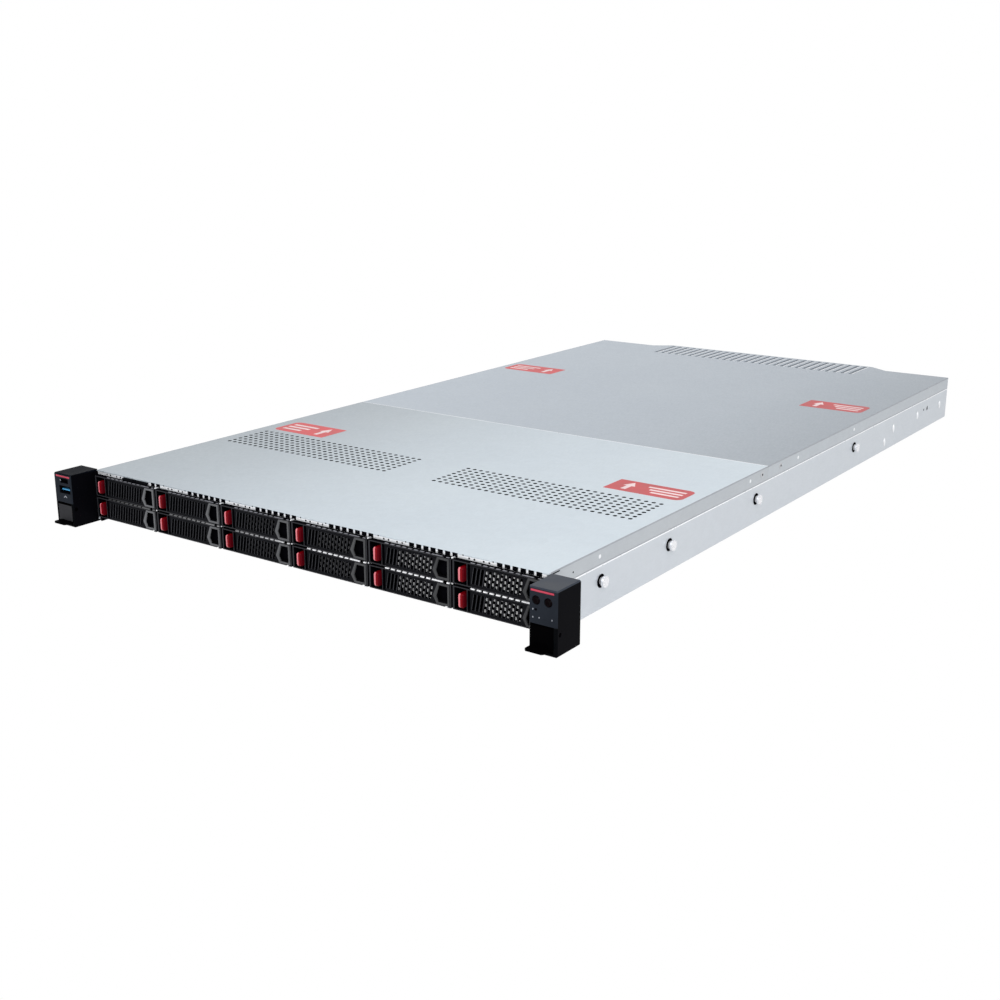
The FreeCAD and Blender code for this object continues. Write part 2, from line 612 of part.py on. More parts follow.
# ---- Ears ----
def ear_shell():
    """Hollow right ear: open below the panel for the lever, with the rack flange behind it."""
    x0 = EAR_X
    x1 = EAR_X + EAR_WIDTH
    block = box(x0, x1, -EAR_DEPTH, 0, 0, TOP_Z)
    block = block.makeChamfer(EAR_CHAMFER, outer_edges(block, x1))
    room = box(x0 + EAR_INNER_WALL, x1 - EAR_OUTER_WALL, EAR_WALL - EAR_DEPTH, -EAR_WALL,
               EAR_WALL, TOP_Z - EAR_WALL)
    mouth = box(x0 + EAR_INNER_WALL, x1 - EAR_OUTER_WALL, -EAR_DEPTH - 1, EAR_WALL - EAR_DEPTH,
                EAR_WALL, PANEL_Z)
    stripe = box(x0 + EAR_INNER_WALL, x1 - EAR_OUTER_WALL, -EAR_DEPTH - 1, STRIPE_DEPTH - EAR_DEPTH,
                 STRIPE_Z, STRIPE_Z + STRIPE_HEIGHT)
    hole_r = LEVER_PIN_R / math.cos(math.pi / PIN_SIDES) + PIN_FIT
    pivot = flat_sided(PIN_SIDES, hole_r, (x0 - 1, PIVOT_Y, PIVOT_Z), X, EAR_WIDTH + 2)
    rack_hole = rod(RACK_HOLE_R, (RACK_HOLE_X, -EAR_WALL - 1, RACK_HOLE_Z), Y, EAR_WALL + 2)
    shell = block.cut([room, mouth, stripe, pivot, rack_hole])
    flange = [box(HALF_WIDTH, EAR_X, FLANGE_FRONT, 0, EAR_WALL, COVER_Z - SEAT),
              box(HALF_WIDTH, EAR_X, 0, FLANGE_LENGTH, EAR_WALL, LEDGE_Z)]
    return joined([shell] + flange)


def outer_edges(block, x1):
    """Edges round the ear's outer side and along its front."""
    chosen = []
    for edge in block.Edges:
        box_of = edge.BoundBox
        on_side = abs(box_of.XMin - x1) < 0.01
        in_front = abs(box_of.YMax + EAR_DEPTH) < 0.01
        if on_side and box_of.YMax < -0.01 or on_side and box_of.YLength > 1 or in_front:
            chosen.append(edge)
    return chosen


def button_x(index):
    return EAR_X + BUTTON_INSET + index * BUTTON_PITCH


def ear_right():
    """Right ear with two button holes, and the switch board behind them."""
    holes = []
    board_y = EAR_WALL - EAR_DEPTH + SEAT + BUTTON_RIM_DEPTH + BUTTON_TRAVEL + SEAT
    board_front = board_y + SWITCH_DEPTH
    board = box(EAR_X + EAR_INNER_WALL, EAR_X + EAR_WIDTH - EAR_OUTER_WALL, board_front,
                board_front + BOARD_SHEET, PANEL_Z + LEVER_TOP_GAP, TOP_Z - EAR_WALL)
    switches = []
    for k in range(2):
        x = button_x(k)
        holes.append(rod(BUTTON_R + SEAT, (x, -EAR_DEPTH - 1, BUTTON_Z), Y, EAR_WALL + 2))
        switches.append(box(x - SWITCH_SIDE / 2, x + SWITCH_SIDE / 2, board_y, board_front,
                            BUTTON_Z - SWITCH_SIDE / 2, BUTTON_Z + SWITCH_SIDE / 2))
    return Part.makeCompound([ear_shell().cut(holes), joined([board] + switches)])


def panel_button(index):
    """Round button with a rim that keeps it behind the panel."""
    x = button_x(index)
    rim_y = EAR_WALL - EAR_DEPTH + SEAT
    cap = rod(BUTTON_R, (x, -EAR_DEPTH - BUTTON_PROUD, BUTTON_Z), Y, rim_y + EAR_DEPTH + BUTTON_PROUD)
    half = BUTTON_R + BUTTON_RIM
    rim = box(x - half, x + half, rim_y, rim_y + BUTTON_RIM_DEPTH, BUTTON_Z - half, BUTTON_Z + half)
    return cap.fuse(rim)


def ear_left():
    """Left ear with openings for two front ports."""
    shell = mirrored(ear_shell())
    tools = []
    for width, height, z in port_sizes():
        tools.append(box(-PORT_X - width / 2 - SEAT, -PORT_X + width / 2 + SEAT, -EAR_DEPTH - 1,
                         EAR_WALL - EAR_DEPTH + 1, z - height / 2 - SEAT, z + height / 2 + SEAT))
    return shell.cut(tools)


def port_sizes():
    return ((USB_WIDTH, USB_HEIGHT, USB_Z), (SLIM_WIDTH, SLIM_HEIGHT, SLIM_Z))


def port_shell(x, z, width, height, front, back):
    """A metal port shell open at the front, with a tongue inside. front and back are Y positions."""
    step = PORT_WALL if back > front else -PORT_WALL
    lo, hi = sorted((front, back))
    shell = box(x - width / 2, x + width / 2, lo, hi, z - height / 2, z + height / 2)
    inner = sorted((front - step, back - step))
    cavity = box(x - width / 2 + PORT_WALL, x + width / 2 - PORT_WALL, inner[0], inner[1],
                 z - height / 2 + PORT_WALL, z + height / 2 - PORT_WALL)
    reach = sorted((front + 2 * step, back))
    tongue = box(x - width / 2 + 3 * PORT_WALL, x + width / 2 - 3 * PORT_WALL, reach[0], reach[1],
                 z - PORT_WALL, z + PORT_WALL)
    return joined([shell.cut(cavity), tongue])


def rack_lever():
    """Right lever: a plate with a bevelled top, a thumb tab at its foot and a hinge barrel behind."""
    x0 = EAR_X + EAR_INNER_WALL + FIT
    x1 = EAR_X + EAR_WIDTH - EAR_OUTER_WALL - FIT
    front = -EAR_DEPTH
    back = front + LEVER_DEPTH
    top = PANEL_Z - LEVER_TOP_GAP
    foot = PANEL_Z - LEVER_DROP
    profile = [(x0, front, top - LEVER_BEVEL), (x0, front + LEVER_BEVEL, top), (x0, back, top),
               (x0, back, foot - TAB_SHEET), (x0, front, foot - TAB_SHEET)]
    plate = prism(profile, X, x1 - x0)
    tab = box(x0, x1 - TAB_OUTER_INSET, front - TAB_LENGTH, front, foot - TAB_SHEET, foot)
    corners = [e for e in tab.Edges if e.BoundBox.ZLength > TAB_SHEET / 2 and e.BoundBox.YMax < front - 1]
    tab = tab.makeChamfer(LEVER_BEVEL, corners)
    barrel = box(x0, x1, back, PIVOT_Y + LEVER_BARREL_R, PIVOT_Z - LEVER_BARREL_R, PIVOT_Z + LEVER_BARREL_R)
    pin = flat_sided(PIN_SIDES, LEVER_PIN_R, (EAR_X + SEAT, PIVOT_Y, PIVOT_Z), X, EAR_WIDTH - 2 * SEAT)
    return joined([plate, tab, barrel, pin])


# ---- Fans ----
def fan_x(index):
    return (index - (FAN_COUNT - 1) / 2) * FAN_PITCH


def fan_frames():
    """Square fan frames, each with a duct and an arm that carries the motor, and their wall."""
    parts = []
    cuts = []
    hub_back = FAN_FRONT + SEAT + ROTOR_LENGTH + SEAT
    for k in range(FAN_COUNT):
        x = fan_x(k)
        half = FAN_SIDE / 2
        body = box(x - half, x + half, FAN_FRONT, FAN_BACK, FAN_BOTTOM, FAN_BOTTOM + FAN_SIDE)
        body = body.cut(flat_sided(DUCT_SIDES, DUCT_R, (x, FAN_FRONT - 1, FAN_MID_Z), Y, FAN_DEPTH + 2))
        motor = flat_sided(HUB_SIDES, HUB_R, (x, hub_back, FAN_MID_Z), Y, FAN_BACK - hub_back)
        arm = box(x - half + FAN_WALL / 2, x + half - FAN_WALL / 2, FAN_BACK - FAN_ARM, FAN_BACK,
                  FAN_MID_Z - FAN_ARM / 2, FAN_MID_Z + FAN_ARM / 2)
        parts.append(joined([body, motor, arm]))
        cuts.append(box(x - DUCT_R, x + DUCT_R, FAN_BACK - 1, FAN_BACK + SHEET + 1,
                        FAN_MID_Z - DUCT_R, FAN_MID_Z + DUCT_R))
    wall = box(-UPPER_INNER + SEAT, UPPER_INNER - SEAT, FAN_BACK, FAN_BACK + SHEET,
               SHEET, WALL_TOP - SHEET - SEAT)
    return Part.makeCompound(parts + [wall.cut(cuts)])


def fan_rotor(index):
    """Closed hub with pitched blades, running just ahead of the motor."""
    x = fan_x(index)
    y = FAN_FRONT + SEAT
    hub = flat_sided(HUB_SIDES, HUB_R, (x, y, FAN_MID_Z), Y, ROTOR_LENGTH)
    blades = []
    reach = BLADE_HALF * math.cos(BLADE_ANGLE) + BLADE_SHEET / 2 * math.sin(BLADE_ANGLE)
    tip = math.sqrt((DUCT_R - ROTOR_FIT) ** 2 - reach ** 2)
    for k in range(BLADES):
        blade = box(-BLADE_HALF, BLADE_HALF, -BLADE_SHEET / 2, BLADE_SHEET / 2, HUB_R - BLADE_SHEET, tip)
        blade.rotate(FreeCAD.Vector(0, 0, 0), Z, math.degrees(BLADE_ANGLE))
        blade.rotate(FreeCAD.Vector(0, 0, 0), Y, k * 360.0 / BLADES)
        blade.translate(FreeCAD.Vector(x, y + ROTOR_LENGTH / 2, FAN_MID_Z))
        blades.append(blade)
    return joined([hub] + blades)


# ---- Mainboard ----
def mainboard():
    """L-shaped board on stand-offs, two finned heat sinks and two banks of memory modules."""
    half = INNER_HALF - BOARD_EDGE
    notch_y = PSU_FRONT - BOARD_GAP
    notch_x = PSU_INNER_X + FIT
    rear = REAR_Y - SHEET - SEAT
    outline = [(-half, BOARD_Y, BOARD_Z), (half, BOARD_Y, BOARD_Z), (half, rear, BOARD_Z),
               (notch_x, rear, BOARD_Z), (notch_x, notch_y, BOARD_Z), (-half, notch_y, BOARD_Z)]
    board = prism(outline, Z, MAIN_BOARD_SHEET)
    posts = []
    for x in (-half + STANDOFF_SIDE, 0, half - STANDOFF_SIDE):
        for y in (BOARD_Y + STANDOFF_SIDE, notch_y - STANDOFF_SIDE):
            posts.append(box(x - STANDOFF_SIDE / 2, x + STANDOFF_SIDE / 2, y - STANDOFF_SIDE / 2,
                             y + STANDOFF_SIDE / 2, SHEET, BOARD_Z))
    solids = [joined([board] + posts)]
    for side in (-1, 1):
        solids.append(heat_sink(side * SINK_X))
    for bank in (-1, 1):
        for k in range(MEMORY_COUNT // 2):
            x = bank * MEMORY_PITCH * (k + 0.5)
            y0 = BOARD_Y + SINK_FROM - (MEMORY_LENGTH - SINK_LENGTH) / 2
            solids.append(box(x - MEMORY_SHEET / 2, x + MEMORY_SHEET / 2, y0, y0 + MEMORY_LENGTH,
                              BOARD_TOP, WALL_TOP - MEMORY_TOP_ROOM))
    return Part.makeCompound(solids)


def heat_sink(x):
    """Base and fins in one comb outline."""
    y = BOARD_Y + SINK_FROM
    base_top = BOARD_TOP + SINK_BASE
    top = WALL_TOP - SINK_TOP_ROOM
    left = x - SINK_WIDTH / 2
    right = x + SINK_WIDTH / 2
    pitch = (SINK_WIDTH - SINK_FIN) / (SINK_FINS - 1)
    outline = [(right, y, BOARD_TOP), (left, y, BOARD_TOP)]
    for k in range(SINK_FINS):
        a = left + k * pitch
        outline += [(a, y, base_top)] if k else []
        outline += [(a, y, top), (a + SINK_FIN, y, top)]
        outline += [(a + SINK_FIN, y, base_top)] if k < SINK_FINS - 1 else []
    return prism(outline, Y, SINK_LENGTH)


# ---- Power supplies and rear connectors ----
def power_supply(index):
    """Closed steel case with a mains inlet, cooling slots and a carrying bail at the rear."""
    x = PSU_X[index]
    x0 = x - PSU_WIDTH / 2
    x1 = x + PSU_WIDTH / 2
    w = PSU_WALL
    case = box(x0, x1, PSU_FRONT, REAR_Y, PSU_Z, PSU_TOP)
    case = case.cut(box(x0 + w, x1 - w, PSU_FRONT + w, REAR_Y - w, PSU_Z + w, PSU_TOP - w))
    inlet_x = x1 - INLET_EDGE - INLET_WIDTH / 2
    hw = INLET_WIDTH / 2
    hh = INLET_HEIGHT / 2
    housing = box(inlet_x - hw - INLET_WALL, inlet_x + hw + INLET_WALL,
                  REAR_Y - INLET_DEPTH - INLET_WALL, REAR_Y,
                  PSU_MID_Z - hh - INLET_WALL, PSU_MID_Z + hh + INLET_WALL)
    socket = box(inlet_x - hw, inlet_x + hw, REAR_Y - INLET_DEPTH, REAR_Y + 1,
                 PSU_MID_Z - hh, PSU_MID_Z + hh)
    pins = []
    for k in (-1, 0, 1):
        px = inlet_x + k * PIN_SPREAD
        pins.append(box(px - BLADE_PIN[0] / 2, px + BLADE_PIN[0] / 2,
                        REAR_Y - INLET_DEPTH, REAR_Y - PIN_SET_BACK,
                        PSU_MID_Z - BLADE_PIN[1] / 2, PSU_MID_Z + BLADE_PIN[1] / 2))
    slots = []
    bail_x = x0 + BAIL_EDGE + BAIL_SPAN / 2
    for k in range(GRILLE_SLOTS):
        sx = bail_x + (k - (GRILLE_SLOTS - 1) / 2) * GRILLE_PITCH
        slots.append(box(sx - GRILLE_SLOT / 2, sx + GRILLE_SLOT / 2, REAR_Y - w - 1, REAR_Y + 1,
                         PSU_MID_Z - GRILLE_HEIGHT / 2, PSU_MID_Z + GRILLE_HEIGHT / 2))
    half = BAIL_SPAN / 2
    bail = box(bail_x - half, bail_x + half, REAR_Y, REAR_Y + BAIL_DEPTH,
               PSU_MID_Z - BAIL_HEIGHT / 2, PSU_MID_Z + BAIL_HEIGHT / 2)
    grip = box(bail_x - half + BAIL_BAR, bail_x + half - BAIL_BAR,
               REAR_Y - 1, REAR_Y + BAIL_DEPTH - BAIL_BAR,
               PSU_MID_Z - BAIL_HEIGHT, PSU_MID_Z + BAIL_HEIGHT)
    case = joined([case, housing]).cut([socket] + slots)
    return joined([case, bail.cut(grip)] + pins)


def connector_ports():
    """Front and rear ports, network jacks, the video port, and the covers of the expansion slots."""
    solids = []
    for width, height, z in port_sizes():
        front = -EAR_DEPTH + SEAT
        solids.append(port_shell(-PORT_X, z, width, height, front, front + USB_DEPTH))
    rear = REAR_Y + SEAT
    for k in range(2):
        z = BOARD_TOP + USB_HEIGHT / 2 + k * (USB_HEIGHT + SEAT)
        solids.append(port_shell(REAR_USB_X, z, USB_WIDTH, USB_HEIGHT, rear, rear - USB_DEPTH))
    for x in JACK_X:
        body = box(x - JACK_SIDE / 2, x + JACK_SIDE / 2, rear - JACK_DEPTH, rear,
                   BOARD_TOP, BOARD_TOP + JACK_HEIGHT)
        low = BOARD_TOP + JACK_WALL
        hole = box(x - JACK_OPENING[0] / 2, x + JACK_OPENING[0] / 2,
                   rear - JACK_DEPTH + 2 * JACK_WALL, rear + 1, low, low + JACK_OPENING[1])
        solids.append(body.cut(hole))
    solids.append(box(VIDEO_X - VIDEO_WIDTH / 2, VIDEO_X + VIDEO_WIDTH / 2,
                      rear - JACK_DEPTH, REAR_Y + VIDEO_PROUD, BOARD_TOP, BOARD_TOP + VIDEO_HEIGHT))
    for x in SLOT_X:
        half = SLOT_WIDTH_X / 2 + SLOT_LAP
        solids.append(box(x - half, x + half, REAR_Y - SHEET - SLOT_COVER, REAR_Y - SHEET,
                          SLOT_Z - SLOT_LAP, SLOT_Z + SLOT_HEIGHT + SLOT_LAP))
    return Part.makeCompound(solids)


def build():
    """Every node's shape by name."""
    nodes = {
        "chassis_base": chassis_base(),
        "rail_studs": rail_studs(),
        "drive_cage": drive_cage(),
        "backplane": backplane(),
        "info_tag": info_tag(),
        "front_cover": front_cover(),
        "rear_cover": rear_cover(),
        "ear_left": ear_left(),
        "ear_right": ear_right(),
        "power_button": panel_button(0),
        "locator_button": panel_button(1),
        "rack_lever_left": mirrored(rack_lever()),
        "rack_lever_right": rack_lever(),
        "fan_frames": fan_frames(),
        "mainboard": mainboard(),
        "connector_ports": connector_ports(),
    }
    for row in range(ROWS):
        for column in range(COLUMNS):
            number = row * COLUMNS + column + 1
            nodes[f"drive_carrier_{number:02d}"] = drive_carrier(column, row)
            nodes[f"carrier_handle_{number:02d}"] = carrier_handle(column, row)
            nodes[f"latch_button_{number:02d}"] = latch_button(column, row)
    for k in range(FAN_COUNT):
        nodes[f"fan_rotor_{k + 1}"] = fan_rotor(k)
    for k in range(2):
        nodes[f"power_supply_{k + 1}"] = power_supply(k)
    return nodes


os.makedirs("parts", exist_ok=True)
for name, shape in build().items():
    shape.exportStep(f"parts/{name}.step")
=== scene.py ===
import json
import math

import bmesh
import bpy
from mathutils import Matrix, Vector


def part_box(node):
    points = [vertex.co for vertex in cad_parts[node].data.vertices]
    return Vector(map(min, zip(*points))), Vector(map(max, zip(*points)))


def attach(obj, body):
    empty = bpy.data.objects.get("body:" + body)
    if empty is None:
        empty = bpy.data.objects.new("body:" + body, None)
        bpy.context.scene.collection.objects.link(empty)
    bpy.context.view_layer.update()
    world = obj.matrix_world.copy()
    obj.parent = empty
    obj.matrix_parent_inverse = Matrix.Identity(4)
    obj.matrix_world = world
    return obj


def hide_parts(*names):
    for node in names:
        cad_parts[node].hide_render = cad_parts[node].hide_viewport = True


MM = 0.001
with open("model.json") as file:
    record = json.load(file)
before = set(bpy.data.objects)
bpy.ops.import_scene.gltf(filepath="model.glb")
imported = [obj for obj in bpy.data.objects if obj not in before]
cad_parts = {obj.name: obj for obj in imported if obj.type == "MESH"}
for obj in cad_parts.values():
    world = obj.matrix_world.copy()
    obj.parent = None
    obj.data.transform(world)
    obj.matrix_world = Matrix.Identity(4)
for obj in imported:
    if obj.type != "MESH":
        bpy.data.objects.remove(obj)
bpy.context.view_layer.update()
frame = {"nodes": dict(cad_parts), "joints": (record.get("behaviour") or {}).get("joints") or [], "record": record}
record = frame["record"]
joints = {joint["name"]: joint for joint in frame["joints"]}


# ---- Materials ----
SOFT, CREASE, SHARP = 0.0004, 0.0003, 0.0001     # radii for the shading of edges, in metres
PANEL_RAMP = (0.0, 0.0432)                       # the server's height, in metres


def surface_of(material):
    return material.node_tree.nodes["Principled BSDF"]


def new_material(name, colour, roughness, metallic=0.0, ior=1.5):
    material = bpy.data.materials.new(name)
    material.use_nodes = True
    surface = surface_of(material)
    surface.inputs["Base Color"].default_value = (*colour, 1)
    surface.inputs["Roughness"].default_value = roughness
    surface.inputs["Metallic"].default_value = metallic
    surface.inputs["IOR"].default_value = ior
    return material


def add_node(material, kind, **values):
    """A node with its inputs set by name."""
    node = material.node_tree.nodes.new(kind)
    for name, value in values.items():
        node.inputs[name.replace("_", " ")].default_value = value
    return node


def noise(material, place, scale, detail):
    node = add_node(material, "ShaderNodeTexNoise", Scale=scale, Detail=detail)
    material.node_tree.links.new(place, node.inputs["Vector"])
    return node.outputs["Fac"]


def object_coordinates(material, stretch=(1, 1, 1)):
    place = material.node_tree.nodes.new("ShaderNodeTexCoord")
    mapping = material.node_tree.nodes.new("ShaderNodeMapping")
    mapping.inputs["Scale"].default_value = stretch
    material.node_tree.links.new(place.outputs["Object"], mapping.inputs["Vector"])
    return mapping.outputs["Vector"]


def ramp(material, source, stops):
    """A colour ramp from (position, colour) stops."""
    node = material.node_tree.nodes.new("ShaderNodeValToRGB")
    elements = node.color_ramp.elements
    while len(elements) < len(stops):
        elements.new(0.5)
    for element, (position, colour) in zip(elements, stops):
        element.position = position
        element.color = (*colour, 1)
    material.node_tree.links.new(source, node.inputs["Fac"])
    return node.outputs["Color"]


def scaled(colour, factor):
    return tuple(min(1.0, channel * factor) for channel in colour)


def grey(value):
    return (value, value, value)


def bump(material, height, strength, distance):
    node = add_node(material, "ShaderNodeBump", Strength=strength, Distance=distance)
    material.node_tree.links.new(height, node.inputs["Height"])
    material.node_tree.links.new(node.outputs["Normal"], surface_of(material).inputs["Normal"])


def soften_edges(material, radius):
    """Rounds the shading of sharp edges, and passes it through the bump if there is one."""
    edge = material.node_tree.nodes.new("ShaderNodeBevel")
    edge.samples = 4
    edge.inputs["Radius"].default_value = radius
    bumps = [node for node in material.node_tree.nodes if node.type == "BUMP"]
    target = bumps[0] if bumps else surface_of(material)
    material.node_tree.links.new(edge.outputs["Normal"], target.inputs["Normal"])


def across(material, stops, axis="X", low=-0.25, high=0.25):
    """A tone that changes along one of the server's axes, from (place in metres, grey) stops."""
    place = material.node_tree.nodes.new("ShaderNodeTexCoord")
    split = material.node_tree.nodes.new("ShaderNodeSeparateXYZ")
    material.node_tree.links.new(place.outputs["Object"], split.inputs["Vector"])
    spread = add_node(material, "ShaderNodeMapRange", From_Min=low, From_Max=high)
    material.node_tree.links.new(split.outputs[axis], spread.inputs["Value"])
    places = [((at - low) / (high - low), grey(tone)) for at, tone in stops]
    return ramp(material, spread.outputs["Result"], places)


def product(material, first, second):
    """Two colours multiplied."""
    mix = material.node_tree.nodes.new("ShaderNodeMix")
    mix.data_type = "RGBA"
    mix.blend_type = "MULTIPLY"
    mix.inputs["Factor"].default_value = 1.0
    material.node_tree.links.new(first, mix.inputs["A"])
    material.node_tree.links.new(second, mix.inputs["B"])
    return mix.outputs["Result"]


def shade(material, stops, *place):
    """Multiplies what feeds the base colour by a tone that changes along an axis."""
    colour = surface_of(material).inputs["Base Color"]
    shaded = product(material, colour.links[0].from_socket, across(material, stops, *place))
    material.node_tree.links.new(shaded, colour)


def sheet_metal(name, colour, roughness, metallic, spangle=0.02, edge=CREASE):
    """Galvanised sheet: faint crystal patches, cloudy tone and a fine grain."""
    material = new_material(name, colour, roughness, metallic)
    links = material.node_tree.links
    surface = surface_of(material)
    place = object_coordinates(material)
    crystals = add_node(material, "ShaderNodeTexVoronoi", Scale=140.0)
    links.new(place, crystals.inputs["Vector"])
    patches = ramp(material, crystals.outputs["Color"],
                   [(0.0, scaled(colour, 1 - spangle)), (1.0, scaled(colour, 1 + spangle))])
    cloud = ramp(material, noise(material, place, 9.0, 4.0),
                 [(0.3, (0.96, 0.965, 0.975)), (0.7, grey(1.0))])
    links.new(product(material, patches, cloud), surface.inputs["Base Color"])
    grain = noise(material, object_coordinates(material, (1, 0.25, 1)), 900.0, 3.0)
    gloss = ramp(material, grain, [(0.3, grey(roughness * 0.85)), (0.7, grey(roughness * 1.2))])
    links.new(gloss, surface.inputs["Roughness"])
    bump(material, grain, 0.12, 0.00005)
    soften_edges(material, edge)
    return material


def moulded(name, colour, roughness, ior=1.5, edge=SOFT):
    """Moulded plastic: a fine grain with slightly uneven gloss and colour."""
    material = new_material(name, colour, roughness, ior=ior)
    links = material.node_tree.links
    surface = surface_of(material)
    place = object_coordinates(material)
    grain = noise(material, place, 1800.0, 2.0)
    cloud = noise(material, place, 60.0, 3.0)
    tone = ramp(material, cloud, [(0.3, scaled(colour, 0.88)), (0.7, scaled(colour, 1.12))])
    links.new(tone, surface.inputs["Base Color"])
    gloss = ramp(material, cloud, [(0.3, grey(roughness * 0.9)), (0.7, grey(roughness * 1.1))])
    links.new(gloss, surface.inputs["Roughness"])
    bump(material, grain, 0.15, 0.00004)
    soften_edges(material, edge)
    return material


def circuit_board(name):
    """Green solder mask over a faint pattern of tracks."""
    material = new_material(name, (0.02, 0.10, 0.05), 0.35)
    links = material.node_tree.links
    tracks = add_node(material, "ShaderNodeTexVoronoi", Scale=220.0)
    tracks.distance = "MANHATTAN"
    links.new(object_coordinates(material), tracks.inputs["Vector"])
    colour = ramp(material, tracks.outputs["Distance"],
                  [(0.2, (0.03, 0.16, 0.07)), (0.28, (0.012, 0.07, 0.035))])
    links.new(colour, surface_of(material).inputs["Base Color"])
    bump(material, tracks.outputs["Distance"], 0.2, 0.0001)
    return material


FRONT_STEEL = sheet_metal("front_cover_steel", (0.56, 0.62, 0.665), 0.42, 0.30)
REAR_STEEL = sheet_metal("rear_cover_steel", (0.44, 0.485, 0.535), 0.42, 0.35)
# The skirts are the covers' own steel in tones of their own, set for how light falls on the upright sides: painted
# shade on the front skirts, painted light on the rear ones.
FRONT_SKIRT_SHADE = sheet_metal("front_skirt_painted_shade", (0.455, 0.48, 0.505), 0.42, 0.40)
REAR_SKIRT_LIGHT = sheet_metal("rear_skirt_painted_light", (0.47, 0.50, 0.53), 0.42, 0.40)
# A darker steel on the bend at the top of each skirt: painted shade.
BEND_SHADE = sheet_metal("bend_painted_shade", (0.33, 0.35, 0.38), 0.45, 0.3, edge=SHARP)
VENT_STEEL = sheet_metal("vent_steel", (0.36, 0.38, 0.41), 0.45, 0.2, edge=SHARP)
SIDE_STEEL = sheet_metal("side_steel", (0.575, 0.605, 0.64), 0.40, 0.45, 0.012)
CAGE_STEEL = sheet_metal("cage_steel", (0.84, 0.85, 0.87), 0.32, 0.5)
SUPPLY_STEEL = sheet_metal("supply_steel", (0.50, 0.52, 0.55), 0.36, 0.8, 0.06)
STUD_STEEL = sheet_metal("stud_steel", (0.80, 0.80, 0.82), 0.24, 0.6)
SCREW_STEEL = sheet_metal("screw_steel", (0.50, 0.51, 0.53), 0.3, 0.8)
PORT_STEEL = sheet_metal("port_steel", (0.55, 0.56, 0.58), 0.25, 0.9, edge=SHARP)
ALUMINIUM = sheet_metal("aluminium", (0.62, 0.63, 0.65), 0.35, 0.9, edge=0.0002)
# Near-white steel for glints on the fingers and wall bends: painted highlight.
HIGHLIGHT_STEEL = sheet_metal("painted_highlight_steel", (0.92, 0.92, 0.94), 0.30, 0.3, edge=SHARP)
SHADED_STEEL = sheet_metal("shaded_steel", (0.16, 0.16, 0.18), 0.45, 0.3, edge=SHARP)
SCREEN_PAINTED_LIGHT = sheet_metal("screen_painted_light", (0.95, 0.95, 0.95), 0.30, 0.3, edge=SHARP)

CARRIER_BLACK = moulded("carrier_black", (0.016, 0.017, 0.020), 0.40, 1.14)
FRAME_GREY = moulded("frame_grey", (0.028, 0.028, 0.032), 0.40, 1.14)
# A lighter grey on the slats' front edges: painted highlight.
SLAT_HIGHLIGHT = moulded("slat_painted_highlight", (0.060, 0.060, 0.066), 0.36, 1.15, SHARP)
HANDLE_GREY = moulded("handle_grey", (0.0060, 0.0062, 0.0078), 0.36, 1.09)
RIM_GREY = moulded("rim_grey", (0.13, 0.132, 0.138), 0.34, 1.2)
DEEP_BLACK = moulded("deep_black", (0.002, 0.002, 0.003), 0.6, 1.02)
EAR_BLACK = moulded("ear_black", (0.002, 0.002, 0.003), 0.42, 1.06)
# The right ear's top in a lighter bluish black: painted sheen; the left ear's top stays near black.
EAR_TOP_SHEEN = moulded("ear_top_painted_sheen", (0.018, 0.024, 0.036), 0.42, 1.28)
EAR_TOP_LEFT = moulded("ear_top_left", (0.003, 0.004, 0.007), 0.42, 1.06)
PANEL_BLACK = moulded("panel_black", (0.015, 0.018, 0.024), 0.30, 1.08)
LEVER_BLACK = moulded("lever_black", (0.0008, 0.0007, 0.0009), 0.35, 1.03)
LEVER_GREY = moulded("lever_grey", (0.031, 0.031, 0.034), 0.40, 1.10)
BUTTON_BLACK = moulded("button_black", (0.0018, 0.0004, 0.0010), 0.15, 1.10, 0.0002)
LATCH_RED = moulded("latch_red", (0.165, 0.0008, 0.004), 0.30, 1.14, SHARP)
# A darker red for the latch's right side (painted shade) and a pale red strip in front (painted highlight).
LATCH_SHADE = moulded("latch_shade", (0.080, 0.001, 0.004), 0.40, 1.10, SHARP)
LATCH_HIGHLIGHT = moulded("latch_painted_highlight", (0.66, 0.17, 0.20), 0.25, 1.40, SHARP)
STICKER_RED = moulded("sticker_red", (0.59, 0.082, 0.088), 0.45, 1.3, SHARP)
STICKER_MARK = moulded("sticker_mark", (0.80, 0.62, 0.62), 0.45, 1.3, SHARP)
STRIPE_RED = moulded("stripe_red", (0.43, 0.04, 0.072), 0.35, 1.3)
USB_BLUE = moulded("usb_blue", (0.05, 0.28, 0.52), 0.35, 1.3, SHARP)
ICON_WHITE = moulded("icon_white", (0.27, 0.28, 0.31), 0.4, 1.3, SHARP)
FAN_BLACK = moulded("fan_black", (0.018, 0.018, 0.020), 0.4)
BOARD_GREEN = circuit_board("board_green")

# The front cover's steel darkens towards its left end: painted shade for how the light falls across it.
shade(FRONT_STEEL, [(-0.22, 0.65), (-0.15, 0.72), (-0.05, 0.87), (0.04, 0.95), (0.22, 1.0)])
# The rear cover's steel darkens towards its right end: painted shade for how the light falls across it.
shade(REAR_STEEL, [(-0.2, 1.0), (0.0, 0.92), (0.1, 0.86), (0.22, 0.71)])
# The highlight steel darkens towards the left end: painted shade.
shade(HIGHLIGHT_STEEL, [(-0.2, 0.05), (-0.05, 0.30), (0.04, 1.0)])
# The shield's bars fade from white on the right to nearly black on the left: painted light.
shade(SCREEN_PAINTED_LIGHT, [(-0.1, 0.004), (0.06, 0.18), (0.14, 1.0)])
# The pocket rims darken towards the right: painted shade.
shade(RIM_GREY, [(-0.15, 1.0), (0.02, 0.62), (0.1, 0.34)])
# The ear panels' faces below 19.3 mm are darkened to a tenth: painted shade.
shade(PANEL_BLACK, [(0.0193, 0.1), (0.0197, 1.0)], "Z", *PANEL_RAMP)
